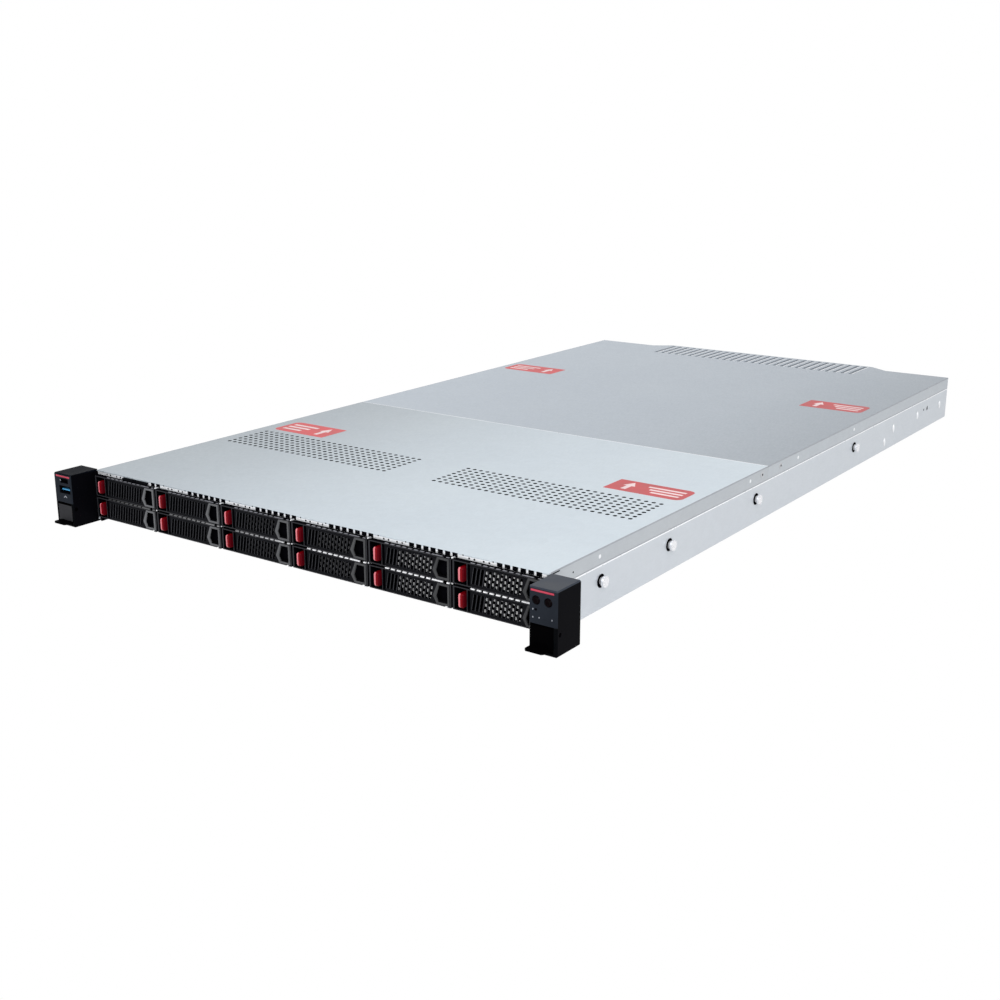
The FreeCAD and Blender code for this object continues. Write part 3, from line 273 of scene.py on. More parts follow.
# The stickers on the right are darker: painted shade.
shade(STICKER_RED, [(-0.1, 1.0), (0.1, 0.84)])


# ---- Mesh helpers ----
BEVEL_FROM_DEG = 40      # edges that turn less than this stay as they are


def quad_band(shape, low, high, material=0):
    """Joins two closed rings of vertices. The material is a slot or a function of the side."""
    for k in range(len(low)):
        face = shape.faces.new([low[k - 1], low[k], high[k], high[k - 1]])
        face.material_index = material(k) if callable(material) else material


def loft(shape, outlines, material=0):
    """Adds a closed body through outlines with equally many points, in millimetres."""
    rings = [[shape.verts.new(Vector(point) * MM) for point in outline] for outline in outlines]
    for low, high in zip(rings, rings[1:]):
        quad_band(shape, low, high, material)
    shape.faces.new(rings[0])
    shape.faces.new(rings[-1])


def mesh_object(name, shape):
    """An object from a bmesh, which is used up."""
    mesh = bpy.data.meshes.new(name)
    shape.to_mesh(mesh)
    shape.free()
    thing = bpy.data.objects.new(name, mesh)
    bpy.context.scene.collection.objects.link(thing)
    return thing


def piece(name, shape, material, body, rounded=0.0, replaces=(), segments=2):
    """A visible piece that rides on a body, with its edges rounded by some millimetres."""
    bmesh.ops.recalc_face_normals(shape, faces=shape.faces)
    thing = mesh_object(name, shape)
    for finish in material if isinstance(material, list) else [material]:
        thing.data.materials.append(finish)
    if rounded:
        edge = thing.modifiers.new("rounded", "BEVEL")
        edge.width = rounded * MM
        edge.segments = segments
        edge.limit_method = "ANGLE"
        edge.angle_limit = math.radians(BEVEL_FROM_DEG)
        edge.harden_normals = True
        thing.data.shade_smooth()
    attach(thing, body)
    if replaces:
        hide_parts(*replaces)


def block(shape, x0, x1, y0, y1, z0, z1, material=0):
    """Adds a box between two corners, in millimetres."""
    corners = [(x, y, z) for x in (x0, x1) for y in (y0, y1) for z in (z0, z1)]
    v = [shape.verts.new(Vector(corner) * MM) for corner in corners]
    sides = ((0, 1, 3, 2), (4, 6, 7, 5), (0, 4, 5, 1), (2, 3, 7, 6), (0, 2, 6, 4), (1, 5, 7, 3))
    for side in sides:
        shape.faces.new([v[k] for k in side]).material_index = material


def extruded(shape, outline, direction, material=0):
    """Adds a prism from 3-D points, in millimetres, pushed along a vector."""
    push = Vector(direction) * MM
    low = [shape.verts.new(Vector(p) * MM) for p in outline]
    high = [shape.verts.new(v.co + push) for v in low]
    shape.faces.new(low).material_index = material
    shape.faces.new(high[::-1]).material_index = material
    quad_band(shape, low, high, material)


def tube(shape, outer, inner, direction):
    """Adds a frame between two outlines with the same number of points, pushed along a vector."""
    push = Vector(direction) * MM
    rings = []
    for outline in (outer, inner):
        low = [shape.verts.new(Vector(p) * MM) for p in outline]
        rings += [low, [shape.verts.new(v.co + push) for v in low]]
    for a, b in ((0, 1), (2, 3), (0, 2), (1, 3)):
        quad_band(shape, rings[a], rings[b])


AXES = {"X": Vector((1, 0, 0)), "Y": Vector((0, 1, 0)), "Z": Vector((0, 0, 1))}


def circle(sides):
    """Angles of a regular outline's points."""
    return [2 * math.pi * k / sides for k in range(sides)]


def ring_points(centre, radius, axis, sides):
    """Points of a regular outline round an axis, in millimetres."""
    a, b = [AXES[name] for name in "XYZ" if name != axis]
    return [Vector(centre) + a * (radius * math.cos(t)) + b * (radius * math.sin(t))
            for t in circle(sides)]


def lathe(shape, centre, axis, profile, sides=24, material=0):
    """Adds a turned body from (distance along the axis, radius) pairs. Radius 0 closes an end."""
    rings = []
    for distance, radius in profile:
        middle = Vector(centre) + AXES[axis] * distance
        if radius:
            points = ring_points(middle, radius, axis, sides)
        else:
            points = [middle]
        rings.append([shape.verts.new(point * MM) for point in points])
    for low, high in zip(rings, rings[1:]):
        for k in range(sides):
            n = (k + 1) % sides
            if len(low) == 1:
                face = [low[0], high[n], high[k]]
            elif len(high) == 1:
                face = [low[k], low[n], high[0]]
            else:
                face = [low[k], low[n], high[n], high[k]]
            shape.faces.new(face).material_index = material


def punched_sheet(shape, outline, holes, z0, z1, hole_material):
    """Adds a flat sheet with holes. The outline and each hole are rings of (x, y)."""
    levels = []
    for z in (z0, z1):
        edges, rings = [], []
        for ring in [outline] + holes:
            verts = [shape.verts.new(Vector((p[0], p[1], z)) * MM) for p in ring]
            edges += [shape.edges.new((verts[k - 1], verts[k])) for k in range(len(verts))]
            rings.append(verts)
        bmesh.ops.triangle_fill(shape, edges=edges)
        levels.append(rings)
    for index, (low, high) in enumerate(zip(*levels)):
        quad_band(shape, low, high, hole_material if index else 0)


def slot_points(x, y0, y1, width, steps=6):
    """Outline of a slot along Y with round ends."""
    radius = width / 2
    points = []
    for centre_y, start in ((y1 - radius, 0.0), (y0 + radius, math.pi)):
        for k in range(steps + 1):
            angle = start + math.pi * k / steps
            points.append((x + radius * math.cos(angle), centre_y + radius * math.sin(angle)))
    return points


def box_mm(node):
    """A node's box in millimetres: x0, x1, y0, y1, z0, z1."""
    lo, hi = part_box(node)
    return [value / MM for k in range(3) for value in (lo[k], hi[k])]


# ---- Sizes from the frame ----
_, HALF, FRONT_Y, SPLIT_FRONT, SKIRT_Z, TOP_Z = box_mm("front_cover")
_, _, SPLIT_REAR, TONGUE_TIP_Y, _, _ = box_mm("rear_cover")
REAR_Y = box_mm("chassis_base")[3]
SHEET = 1.0
LABEL_SHEET = 0.08       # labels end flush with the top of the solids
COVER_Z = TOP_Z - SHEET
FIRST_LEFT, _, FACE_Y, _, FIRST_FLOOR, FIRST_TOP = box_mm("drive_carrier_01")
CARRIER_HEIGHT = FIRST_TOP - FIRST_FLOOR
BAY_PITCH = box_mm("drive_carrier_02")[0] - FIRST_LEFT
UPPER_FLOOR, UPPER_TOP = box_mm("drive_carrier_07")[4:]
ROW_PITCH = UPPER_FLOOR - FIRST_FLOOR
CAGE_HALF = box_mm("drive_cage")[1]
CAGE_FLOOR_Z = FIRST_FLOOR - 1.15
STRIP_Z = UPPER_TOP + 0.35
EAR_X0 = box_mm("power_button")[0] - 1.6
_, EAR_X1, EAR_FRONT, _, _, _ = box_mm("ear_right")
COLUMNS = 6
NUMBERS = [f"{k:02d}" for k in range(1, 2 * COLUMNS + 1)]
SIDES = ((-1, "left"), (1, "right"))


def bay_left(column):
    return (column - COLUMNS / 2) * BAY_PITCH


def mirrored(side, a, b):
    """Two places along X on one side of the server, in rising order."""
    return sorted((side * a, side * b))


def turned(shape, side, y, z, profile, sides=24, material=0):
    """Adds a turned body on a side wall, from (distance outwards, radius) pairs."""
    lathe(shape, (side * HALF, y, z), "X", [(side * out, r) for out, r in profile], sides, material)


# ---- Covers ----
HOLE_PITCH = (6.33, 6.47)
HOLE_R = 1.75
HOLE_SIDES = 12
HOLE_COLUMNS = 29
HOLE_ROWS = 8
ZONES_X = (-116.1, 112.2)
ZONE_Y = 130.3
ZONE_MARGIN = 4.0
SLIT_PITCH = 9.05
SLIT_WIDTH = 4.0
SLITS = 28
SLIT_Y = (748.5, 801.5)
SLIT_HIGHLIGHT = 1.1
SLIT_END = 2.0           # the painted highlights beside the slits are this much shorter at each end, the sheet under them this much longer
BACKING = (0.35, 0.15)   # sheet under the openings, from the sheet's lower face
TONGUE = (148.0, 128.0)  # half widths at its root and its tip
SEAM_HIGHLIGHT = 0.8
SKIRT_START = 1.0
BEND = (1.1, 0.06)       # lower and upper edge of the painted shade on the bend, from the top
BEND_SKIN = (0.03, 0.25)                         # how far the bend stands out and reaches in
COVER_DIMPLES = ((-28.0, 585.0), (102.0, 581.0))
DIMPLE = ((0, 4.2), (LABEL_SHEET + 0.05, 3.4), (LABEL_SHEET, 0))


def skirts(shape, y0, y1):
    """A skirt down each side, and a darker strip of painted shade on the bend above it."""
    for side, _ in SIDES:
        block(shape, *mirrored(side, HALF, HALF - SHEET), y0, y1, SKIRT_Z, COVER_Z, 1)
        skin = mirrored(side, HALF + BEND_SKIN[0], HALF - BEND_SKIN[1])
        block(shape, *skin, y0, y1, TOP_Z - BEND[0], TOP_Z - BEND[1], 2)


def backing(shape, x0, x1, y0, y1):
    """A sheet under a field of openings."""
    block(shape, x0, x1, y0, y1, COVER_Z - BACKING[0], COVER_Z - BACKING[1])


def front_cover():
    """Sheet with two zones of round holes, a skirt down each side and a bright strip along the seam, which is a
    painted highlight.
    """
    shape, under_sheet = bmesh.new(), bmesh.new()
    holes = []
    pitch_x, pitch_y = HOLE_PITCH
    half = (HOLE_COLUMNS - 1) / 2 * pitch_x
    depth = (HOLE_ROWS - 1) * pitch_y
    for middle in ZONES_X:
        for column in range(HOLE_COLUMNS):
            x = middle - half + column * pitch_x
            for row in range(HOLE_ROWS):
                ring = ring_points((x, ZONE_Y + row * pitch_y, 0), HOLE_R, "Z", HOLE_SIDES)
                holes.append([(p.x, p.y) for p in ring])
        backing(under_sheet, middle - half - ZONE_MARGIN, middle + half + ZONE_MARGIN,
                ZONE_Y - ZONE_MARGIN, ZONE_Y + depth + ZONE_MARGIN)
    outline = [(-HALF, FRONT_Y), (HALF, FRONT_Y), (HALF, SPLIT_FRONT), (-HALF, SPLIT_FRONT)]
    # The holes' walls are black: painted shade.
    punched_sheet(shape, outline, holes, COVER_Z, TOP_Z - LABEL_SHEET, 3)
    skirts(shape, SKIRT_START, SPLIT_FRONT)
    piece("front_cover_sheet", shape, [FRONT_STEEL, FRONT_SKIRT_SHADE, BEND_SHADE, DEEP_BLACK],
          "chassis", replaces=["front_cover"])
    # The black sheet under the holes is painted shade where the inside shows through.
    piece("front_cover_painted_shade", under_sheet, DEEP_BLACK, "chassis")
    # A bright strip on the seam: painted highlight.
    seam_highlight = bmesh.new()
    block(seam_highlight, -HALF, HALF, SPLIT_FRONT - SEAM_HIGHLIGHT, SPLIT_FRONT, TOP_Z - SHEET / 2, TOP_Z)
    piece("front_cover_seam_highlight", seam_highlight, CAGE_STEEL, "chassis")


def rear_cover():
    """Sheet with a row of round-ended slits, each with a bright strip of painted highlight beside it, and a tongue
    at the rear.
    """
    shape, under_sheet, slit_highlights = bmesh.new(), bmesh.new(), bmesh.new()
    y0, y1 = SLIT_Y
    slits = []
    for k in range(SLITS):
        x = (k - (SLITS - 1) / 2) * SLIT_PITCH
        slits.append(slot_points(x, y0, y1, SLIT_WIDTH))
        edge = x + SLIT_WIDTH / 2
        block(slit_highlights, edge, edge + SLIT_HIGHLIGHT, y0 + SLIT_END, y1 - SLIT_END,
              TOP_Z - 2 * LABEL_SHEET, TOP_Z)
    span = SLITS / 2 * SLIT_PITCH
    backing(under_sheet, -span, span, y0 - SLIT_END, y1 + SLIT_END)
    root, tip = TONGUE
    outline = [(-HALF, SPLIT_REAR), (HALF, SPLIT_REAR), (HALF, REAR_Y), (root, REAR_Y),
               (tip, TONGUE_TIP_Y), (-tip, TONGUE_TIP_Y), (-root, REAR_Y), (-HALF, REAR_Y)]
    punched_sheet(shape, outline, slits, COVER_Z, TOP_Z - LABEL_SHEET, 0)
    skirts(shape, SPLIT_REAR, REAR_Y)
    for x, y in COVER_DIMPLES:
        lathe(shape, (x, y, TOP_Z - 2 * LABEL_SHEET), "Z", DIMPLE)
    piece("rear_cover_sheet", shape, [REAR_STEEL, REAR_SKIRT_LIGHT, BEND_SHADE], "rear_cover",
          replaces=["rear_cover"])
    piece("rear_cover_film", under_sheet, VENT_STEEL, "rear_cover")
    # The bright strips beside the slits are painted highlight.
    piece("rear_cover_slit_highlights", slit_highlights, CAGE_STEEL, "rear_cover")


# ---- Side walls ----
SCREWS = (("front_screw", 312.0, "chassis"), ("rear_screw", 348.0, "rear_cover"))
SCREW_Z = 38.5
SCREW_HEAD = ((0.0, 2.5), (0.25, 2.5), (0.55, 2.0), (0.7, 1.3), (0.7, 1.0))
SCREW_SOCKET = ((0.7, 1.0), (0.2, 1.0), (0.2, 0))
SPOT_Z = 37.7
SPOTS_Y = {"chassis": (60.0, 290.6), "rear_cover": (385.0, 514.0)}
SPOT = ((0, 1.5), (0.2, 1.1), (0.28, 0))
WALL_BEND = (1.5, 0.6)   # lower and upper edge of the painted highlight on the bend, below the skirt
LINE_DEPTH = 0.5
LINE_PROUD = 0.02
SLIT_PROUD = 0.04
DARK_SLIT_END = 11.0     # of the slit under the cover's front corner
SLIT_DROP = (0.9, 0.1)
WALL_DOTS = ((27.0, 36.0, 0.7), (714.5, 20.8, 1.2))      # y, z, radius
BUMPS = ((622.1, 18.0), (598.3, 8.3), (693.8, 18.1), (765.3, 17.3))      # y, z
BUMP_SHIFT = 1.4         # from that y to the bump's middle
BUMP_HALF = (1.9, 4.6)
BUMP_LEVELS = ((-0.2, 1.0), (0.45, 0.85), (0.85, 0.5), (0.95, 0.2))  # distance out, share of size
FINE_SIDES = 16
STUD_RING = ((0, 4.9), (0.15, 4.7), (0.15, 2.4))


def screw(name, y, body):
    """Button-head screws with a hexagon socket, one on each side."""
    for side, label in SIDES:
        shape = bmesh.new()
        turned(shape, side, y, SCREW_Z, SCREW_HEAD)
        # The socket is black: painted shade.
        turned(shape, side, y, SCREW_Z, SCREW_SOCKET, 6, 1)
        piece(f"{name}_{label}", shape, [SCREW_STEEL, DEEP_BLACK], body)


def skirt_spots():
    """Small pressed spots along both skirts."""
    for body, places in SPOTS_Y.items():
        shape = bmesh.new()
        for side, _ in SIDES:
            for y in places:
                turned(shape, side, y, SPOT_Z, SPOT, FINE_SIDES)
        # The spots are in the bright cage steel, lighter than the skirt: painted highlight.
        piece(f"skirt_spots_{body}", shape, CAGE_STEEL, body)


def wall_lines():
    """A painted highlight on each side wall's bend, the slit under the cover's front corner as a black strip of
    painted shade, and two dots.
    """
    line, dark = bmesh.new(), bmesh.new()
    for side, _ in SIDES:
        block(line, *mirrored(side, HALF - LINE_DEPTH, HALF + LINE_PROUD), SKIRT_START, REAR_Y,
              SKIRT_Z - WALL_BEND[0], SKIRT_Z - WALL_BEND[1])
        block(dark, *mirrored(side, HALF - LINE_DEPTH, HALF + SLIT_PROUD), FRONT_Y, DARK_SLIT_END,
              COVER_Z - SLIT_DROP[0], COVER_Z - SLIT_DROP[1])
        for y, z, radius in WALL_DOTS:
            turned(dark, side, y, z, ((0.05, radius), (0.06, 0)), FINE_SIDES)
    # Bright strips on the bends: painted highlight.
    piece("wall_bend_highlight", line, HIGHLIGHT_STEEL, "chassis")
    # The black strip for the slit is painted shade.
    piece("skirt_slits", dark, DEEP_BLACK, "chassis")


def side_bumps():
    """Upright pressed bumps on both side walls, near the rear."""
    shape = bmesh.new()
    half_y, half_z = BUMP_HALF
    for side, _ in SIDES:
        for left, z in BUMPS:
            y = left + BUMP_SHIFT
            loft(shape, [[(side * (HALF + out), y + half_y * size * math.cos(t),
                           z + half_z * size * math.sin(t)) for t in circle(FINE_SIDES)]
                         for out, size in BUMP_LEVELS])
    # The bumps are in the bright cage steel, lighter than the wall they are pressed from: painted highlight.
    piece("side_bumps", shape, CAGE_STEEL, "chassis")


def stud_rings():
    """Black rings round the rail studs: painted shadow round their heads."""
    shape = bmesh.new()
    for mount in record["mounts"]:
        if mount["name"].startswith("rail_stud"):
            place = Vector(mount["pos_m"]) / MM
            turned(shape, 1 if place.x > 0 else -1, place.y, place.z, STUD_RING)
    piece("stud_rings", shape, DEEP_BLACK, "chassis")


# ---- Stickers ----
STICKERS = (("front_left", -207.0, -147.0, 185.5, 219.5, "chassis"),
            ("front_right", 141.5, 208.0, 190.5, 219.5, "chassis"),
            ("rear_left", -211.0, -147.0, 555.0, 587.0, "rear_cover"),
            ("rear_right", 143.5, 206.0, 560.0, 592.0, "rear_cover"))
STICKER_ROUND = 6.0
STICKER_CORNER = 0.4     # radius of the two square corners
CORNER_STEPS = 4
ARROW_FROM_MIDDLE = 0.28
ARROW = ((-2.2, -0.32), (2.2, -0.32), (2.2, 0.02), (5.2, 0.02), (0, 0.36), (-5.2, 0.02),
         (-2.2, 0.02))      # across in millimetres, along as a share of the sticker's depth
BARS = 3
BAR_STEP = 0.22          # share of the sticker's depth
BAR_DEPTH = 0.11
BAR_ENDS = (4.0, 5.0)    # from the middle, and from the outer edge
BAR_TAPER = 4.0          # each bar is this much longer than the one before


def sticker(name, x0, x1, y0, y1, body):
    """Plain label with two rounded corners, an arrow on its inner side and bars on its outer."""
    shape = bmesh.new()
    outer = -1 if x1 < 0 else 1
    base = TOP_Z - 3 * LABEL_SHEET
    outline = []
    for x, y, start in ((x1, y0, -90), (x1, y1, 0), (x0, y1, 90), (x0, y0, 180)):
        r = STICKER_ROUND if (x == x1) == (outer > 0) else STICKER_CORNER
        cx = x - r if x == x1 else x + r
        cy = y - r if y == y1 else y + r
        for k in range(CORNER_STEPS + 1):
            angle = math.radians(start + 90 / CORNER_STEPS * k)
            outline.append((cx + r * math.cos(angle), cy + r * math.sin(angle), base))
    extruded(shape, outline, (0, 0, 2.7 * LABEL_SHEET))
    depth = y1 - y0
    middle = (x0 + x1) / 2 - outer * (x1 - x0) * ARROW_FROM_MIDDLE
    points = [(middle + u, (y0 + y1) / 2 + v * depth, base) for u, v in ARROW]
    extruded(shape, points, (0, 0, 3 * LABEL_SHEET), 1)
    inner_end = (x0 + x1) / 2 - outer * BAR_ENDS[0]
    outer_end = (x1 if outer > 0 else x0) - outer * BAR_ENDS[1]
    for k in range(BARS):
        y = y0 + depth * (BAR_STEP + BAR_STEP * k)
        ends = sorted((inner_end + outer * (BARS - 1 - k) * BAR_TAPER, outer_end))
        block(shape, *ends, y, y + depth * BAR_DEPTH, base, TOP_Z, 1)
    piece(f"sticker_{name}", shape, [STICKER_RED, STICKER_MARK], body)


# ---- Drive bays ----
SLATS = 13
SLAT_PITCH = 3.05
SLOT_WIDTH = 1.95
SLAT_LIP = 0.3           # painted highlight along the front edge of each slat
SLAT_START = 2.9
SLAT_LEAN = 1.9
FRONT_PLATE = 1.3        # thickness of the handle's slatted front
HANDLE_LIFT = 1.1        # from the carrier's edge to the handle
SLOT_MARGIN = 1.5
POCKET_FROM = 44.8       # from the handle's left end to the pocket's lower left corner
POCKET_LEAN = 2.2
POCKET_DEPTH = 3.4
POCKET_FLOOR = 0.4
POCKET_WALL = 0.5
HANDLE_CORNER = 2.0      # the facet at the handle's left end
FACET_Y = (2.0, 2.6)     # where the facet ends outside and inside, behind the handle's front
HANDLE_WALL = 0.8
PIN_R = 1.0
PIN_ROOM = 0.3
RIM = 1.5
RIM_PROUD = 0.3          # the rim stands this far in front of the handle and past its edges
RIM_DEPTH = 1.2
RIM_LEFT = (9.8, 13.9, 10.6)     # top corner, point and bottom corner, from the rim's right side
RIM_POINT = 0.36                 # share of the rim's height
RIM_INSETS = (0.8, 1.9)          # how far the left corners and the point move in, per inset
RIM_PAST = 0.4                   # past the handle's right end


def bay_floor(number):
    return box_mm(f"drive_carrier_{number}")[4]


def rim_outline(right, z0, z1, inset):
    """Five-sided outline of the pocket's rim: its left side comes to a point below the middle."""
    top_left, point, bottom_left = [right - back for back in RIM_LEFT]
    corner_in, point_in = [share * inset for share in RIM_INSETS]
    return [(bottom_left + corner_in, z0 + inset), (right - inset, z0 + inset),
            (right - inset, z1 - inset), (top_left + corner_in, z1 - inset),
            (point + point_in, z0 + RIM_POINT * (z1 - z0))]


def handle_sections(x0, x1):
    """Lines across the handle's front, as (x, lean), and what lies between each two."""
    lines = [(x0 + HANDLE_CORNER, 0.0)]
    kinds = ["solid"]
    u = x0 + SLAT_START
    for _ in range(SLATS):
        lines += [(u - SLAT_LIP, SLAT_LEAN), (u, SLAT_LEAN), (u + SLOT_WIDTH, SLAT_LEAN)]
        kinds += ["lip", "open", "solid"]
        u += SLAT_PITCH
    lines += [(x0 + POCKET_FROM, POCKET_LEAN), (x1 - HANDLE_WALL, 0.0), (x1, 0.0)]
    kinds += ["pocket", "solid"]
    return lines, kinds


def handle_heights(z):
    """A handle's lower and upper edge, and those of its slots, from the carrier's floor."""
    z0, z1 = z + HANDLE_LIFT, z + CARRIER_HEIGHT - HANDLE_LIFT
    return z0, z1, z0 + SLOT_MARGIN, z1 - SLOT_MARGIN


def handle_front(shape, x0, x1, y0, back, heights):
    """The slatted front: open slots with black walls of painted shade and painted highlights on their lips, and
    the pocket's opening.
    """
    z0, z1, low, high = heights
    lines, kinds = handle_sections(x0, x1)
    sections = []
    for u, lean in lines:
        points = [(u, z0), (u, low), (u + lean, high), (u + lean, z1)]
        sections.append([[shape.verts.new(Vector((px, y, pz)) * MM) for px, pz in points]
                         for y in (y0, back)])
    for (a, b), kind in zip(zip(sections, sections[1:]), kinds):
        is_open = kind in ("open", "pocket")
        for level in (0, 2) if is_open else (0, 1, 2):
            for side in (0, 1):
                face = shape.faces.new([a[side][level], b[side][level],
                                        b[side][level + 1], a[side][level + 1]])
                face.material_index = 2 if (level, side, kind) == (1, 0, "lip") else 0
        if is_open:
            front, rear = [[a[side][1], b[side][1], b[side][2], a[side][2]] for side in (0, 1)]
            quad_band(shape, front, rear, 1)


def carrier_handle(number):
    """Handle with a thin slatted front, a deep pocket in a raised rim and two hinge pins; the pocket is black
    inside, painted shade.
    """
    node = f"carrier_handle_{number}"
    x0, x1, y0, y1, _, _ = box_mm(node)
    z = bay_floor(number)
    z0, z1, low, high = handle_heights(z)
    back = y0 + FRONT_PLATE
    shape = bmesh.new()
    handle_front(shape, x0, x1, y0, back, (z0, z1, low, high))
    left, right, floor_y = x0 + POCKET_FROM, x1 - HANDLE_WALL, y0 + POCKET_DEPTH
    # Black floor and wall of the pocket: painted shade.
    block(shape, left, right, floor_y, floor_y + POCKET_FLOOR, low, high, 1)
    block(shape, left, left + POCKET_WALL, back, floor_y, low, high, 1)
    inner_low, inner_high = low - POCKET_FLOOR, high + POCKET_FLOOR
    for a, b in ((z0, inner_low), (inner_high, z1)):
        block(shape, x0, x1, back, y1, a, b)
    block(shape, right, x1, back, y1, inner_low, inner_high)
    facet = [(x0, y0 + FACET_Y[0]), (x0 + HANDLE_CORNER, y0), (x0 + HANDLE_CORNER, back),
             (x0 + HANDLE_WALL, y0 + FACET_Y[1]), (x0 + HANDLE_WALL, y1), (x0, y1)]
    extruded(shape, [(px, py, z0) for px, py in facet], (0, 0, z1 - z0))
    pivot = Vector(joints[f"handle_swing_{number}"]["pos_m"]) / MM
    for a, b in ((z + PIN_ROOM, z0), (z1, z + CARRIER_HEIGHT - PIN_ROOM)):
        pin = [(0, 0), (0, PIN_R), (b - a, PIN_R), (b - a, 0)]
        lathe(shape, (pivot.x, pivot.y, a), "Z", pin, FINE_SIDES)
    piece(f"handle_{number}", shape, [HANDLE_GREY, DEEP_BLACK, SLAT_HIGHLIGHT], node, 0.2,
          [node])
    rim = bmesh.new()
    edge = (x1 + RIM_PAST, z0 - RIM_PROUD, z1 + RIM_PROUD)
    outer, inner = [[(px, y0 - RIM_PROUD, pz) for px, pz in rim_outline(*edge, inset)]
                    for inset in (0.0, RIM)]
    tube(rim, outer, inner, (0, RIM_DEPTH, 0))
    piece(f"handle_rim_{number}", rim, RIM_GREY, node, 0.3)


LATCH_BACK = 8.7         # from the latch's front to its stem
LATCH_STEM = 1.5
LATCH_SHOULDERS = (0.7, 0.9)     # where the left and right corners end, behind the front
LATCH_CORNER = (0.45, 0.1)       # between the left corner and the strip of painted highlight
LATCH_STRIP = (2.0, 0.9)         # the red front's ends, from the left and right side
LATCH_ROUND = ((0.9, 0.0), (0.35, 0.5), (0.0, 1.5))  # inset of front and sides, distance from end
LATCH_FINISH = {3: 1, 5: 2, 6: 2}    # the plan's side with the painted highlight and its two sides with painted shade


def latch(number):
    """Red latch cap with rounded ends, a strip of painted highlight in front and painted shade on its right side;
    its stem.
    """
    node = f"latch_button_{number}"
    x0, x1, y0, y1, z0, z1 = box_mm(node)
    back = y0 + LATCH_BACK
    levels = []
    for inset, end in LATCH_ROUND:
        left, right, front = x0 + inset, x1 - inset, y0 + inset
        plan = [(left, back), (left, y0 + LATCH_SHOULDERS[0] + inset),
                (x0 + LATCH_CORNER[0] + inset / 2, front + LATCH_CORNER[1]),
                (x0 + LATCH_STRIP[0], front), (x1 - LATCH_STRIP[1], front),
                (right, y0 + LATCH_SHOULDERS[1] + inset), (right, back)]
        levels += [[(*point, z) for point in plan] for z in (z0 + end, z1 - end)]
    levels.sort(key=lambda level: level[0][2])
    shape = bmesh.new()
    loft(shape, levels, lambda k: LATCH_FINISH.get(k, 0))
    x, z = (x0 + x1) / 2, (z0 + z1) / 2
    block(shape, x - LATCH_STEM, x + LATCH_STEM, back, y1, z - LATCH_STEM, z + LATCH_STEM)
    piece(f"latch_{number}", shape, [LATCH_RED, LATCH_HIGHLIGHT, LATCH_SHADE], node, 0.3,
          [node], 3)


SCREEN_FROM = 11.0       # the slots nearer than this to the handle's left end stay dark
SPECK_PITCH = 4.1
SPECK_HEIGHT = 2.0
SPECK_LEAST = 0.5        # a speck cut shorter than this is left out
SPECK_ROWS = range(-1, 4)
SPECK_STEP = 0.37        # share of the pitch from one slot's specks to the next slot's
SPECK_REACH = (-0.3, 0.85)
SPECK_DEPTH = (0.35, 0.3)    # behind the handle's front plate, and its own


def screen(number):
    """Bars of the shield behind the handle's slats, stepping down from slot to slot; the shield is real, its
    near-white tone, fading out towards the left, is painted light.
    """
    node = f"carrier_handle_{number}"
    x0, x1, y0, _, _, _ = box_mm(node)
    _, _, low, high = handle_heights(bay_floor(number))
    y = y0 + FRONT_PLATE + SPECK_DEPTH[0]
    shape = bmesh.new()
    slots = [line for line, kind in zip(*handle_sections(x0, x1))
             if kind == "open" and line[0] > x0 + SCREEN_FROM]
    for k, (u, lean) in enumerate(slots):
        offset = (1.0 - k * SPECK_STEP % 1.0) * SPECK_PITCH
        for row in SPECK_ROWS:
            start = low + row * SPECK_PITCH + offset
            bottom, top = max(low, start), min(high, start + SPECK_HEIGHT)
            if top - bottom > SPECK_LEAST:
                left = u + lean * ((bottom + top) / 2 - low) / (high - low)
                block(shape, left + SPECK_REACH[0], left + SPECK_REACH[1], y, y + SPECK_DEPTH[1],
                      bottom, top)
    piece(f"screen_{number}", shape, SCREEN_PAINTED_LIGHT, node, 0.1)


FINGER_FIRST = 15.0      # from the bay's left boundary
FINGER_PITCH = 5.1
FINGER_WIDTH = 3.3
FINGERS = 8
LONG_FINGER = (55.5, 64.5)
END_FINGER = (67.8, 70.2)
FINGER_PROFILE = ((0.2, -0.1, 0), (0.1, 0, 0.4), (0.7, 0, 1), (1.3, 0, 1), (1.6, -0.1, 0))
FINGER_ROWS = ((1.05, HIGHLIGHT_STEEL), (0.3, SHADED_STEEL))    # height and finish of each row's fingers; the upper row's shaded steel is painted shade under the strip
CLIP = ((0.2, 1.2), (-0.7, 0.1))     # the spring under a lower carrier: its reach along Y and Z


def contact_fingers(number, column, row):
    """Spring fingers along the carrier's top edge, and one under the lower carriers, in near-white steel that is a
    painted highlight; the upper row's are in darker steel, painted shade.
    """
    left = bay_left(column)
    floor_z = bay_floor(number)
    top = floor_z + CARRIER_HEIGHT
    height, steel = FINGER_ROWS[row]
    firsts = [FINGER_FIRST + k * FINGER_PITCH for k in range(FINGERS)]
    profile = [(FACE_Y + in_y, top + up + share * height) for in_y, up, share in FINGER_PROFILE]
    shape = bmesh.new()
    for a, b in [(first, first + FINGER_WIDTH) for first in firsts] + [LONG_FINGER, END_FINGER]:
        extruded(shape, [(left + a, y, z) for y, z in profile], (b - a, 0, 0))
    if row == 0:
        block(shape, left + END_FINGER[0], left + END_FINGER[1],
              *[FACE_Y + y for y in CLIP[0]], *[floor_z + z for z in CLIP[1]])
    piece(f"contact_fingers_{number}", shape, steel, f"drive_carrier_{number}", 0.12)


def bays():
    for index, number in enumerate(NUMBERS):
        carrier_handle(number)
        latch(number)
        screen(number)
        contact_fingers(number, index % COLUMNS, index // COLUMNS)


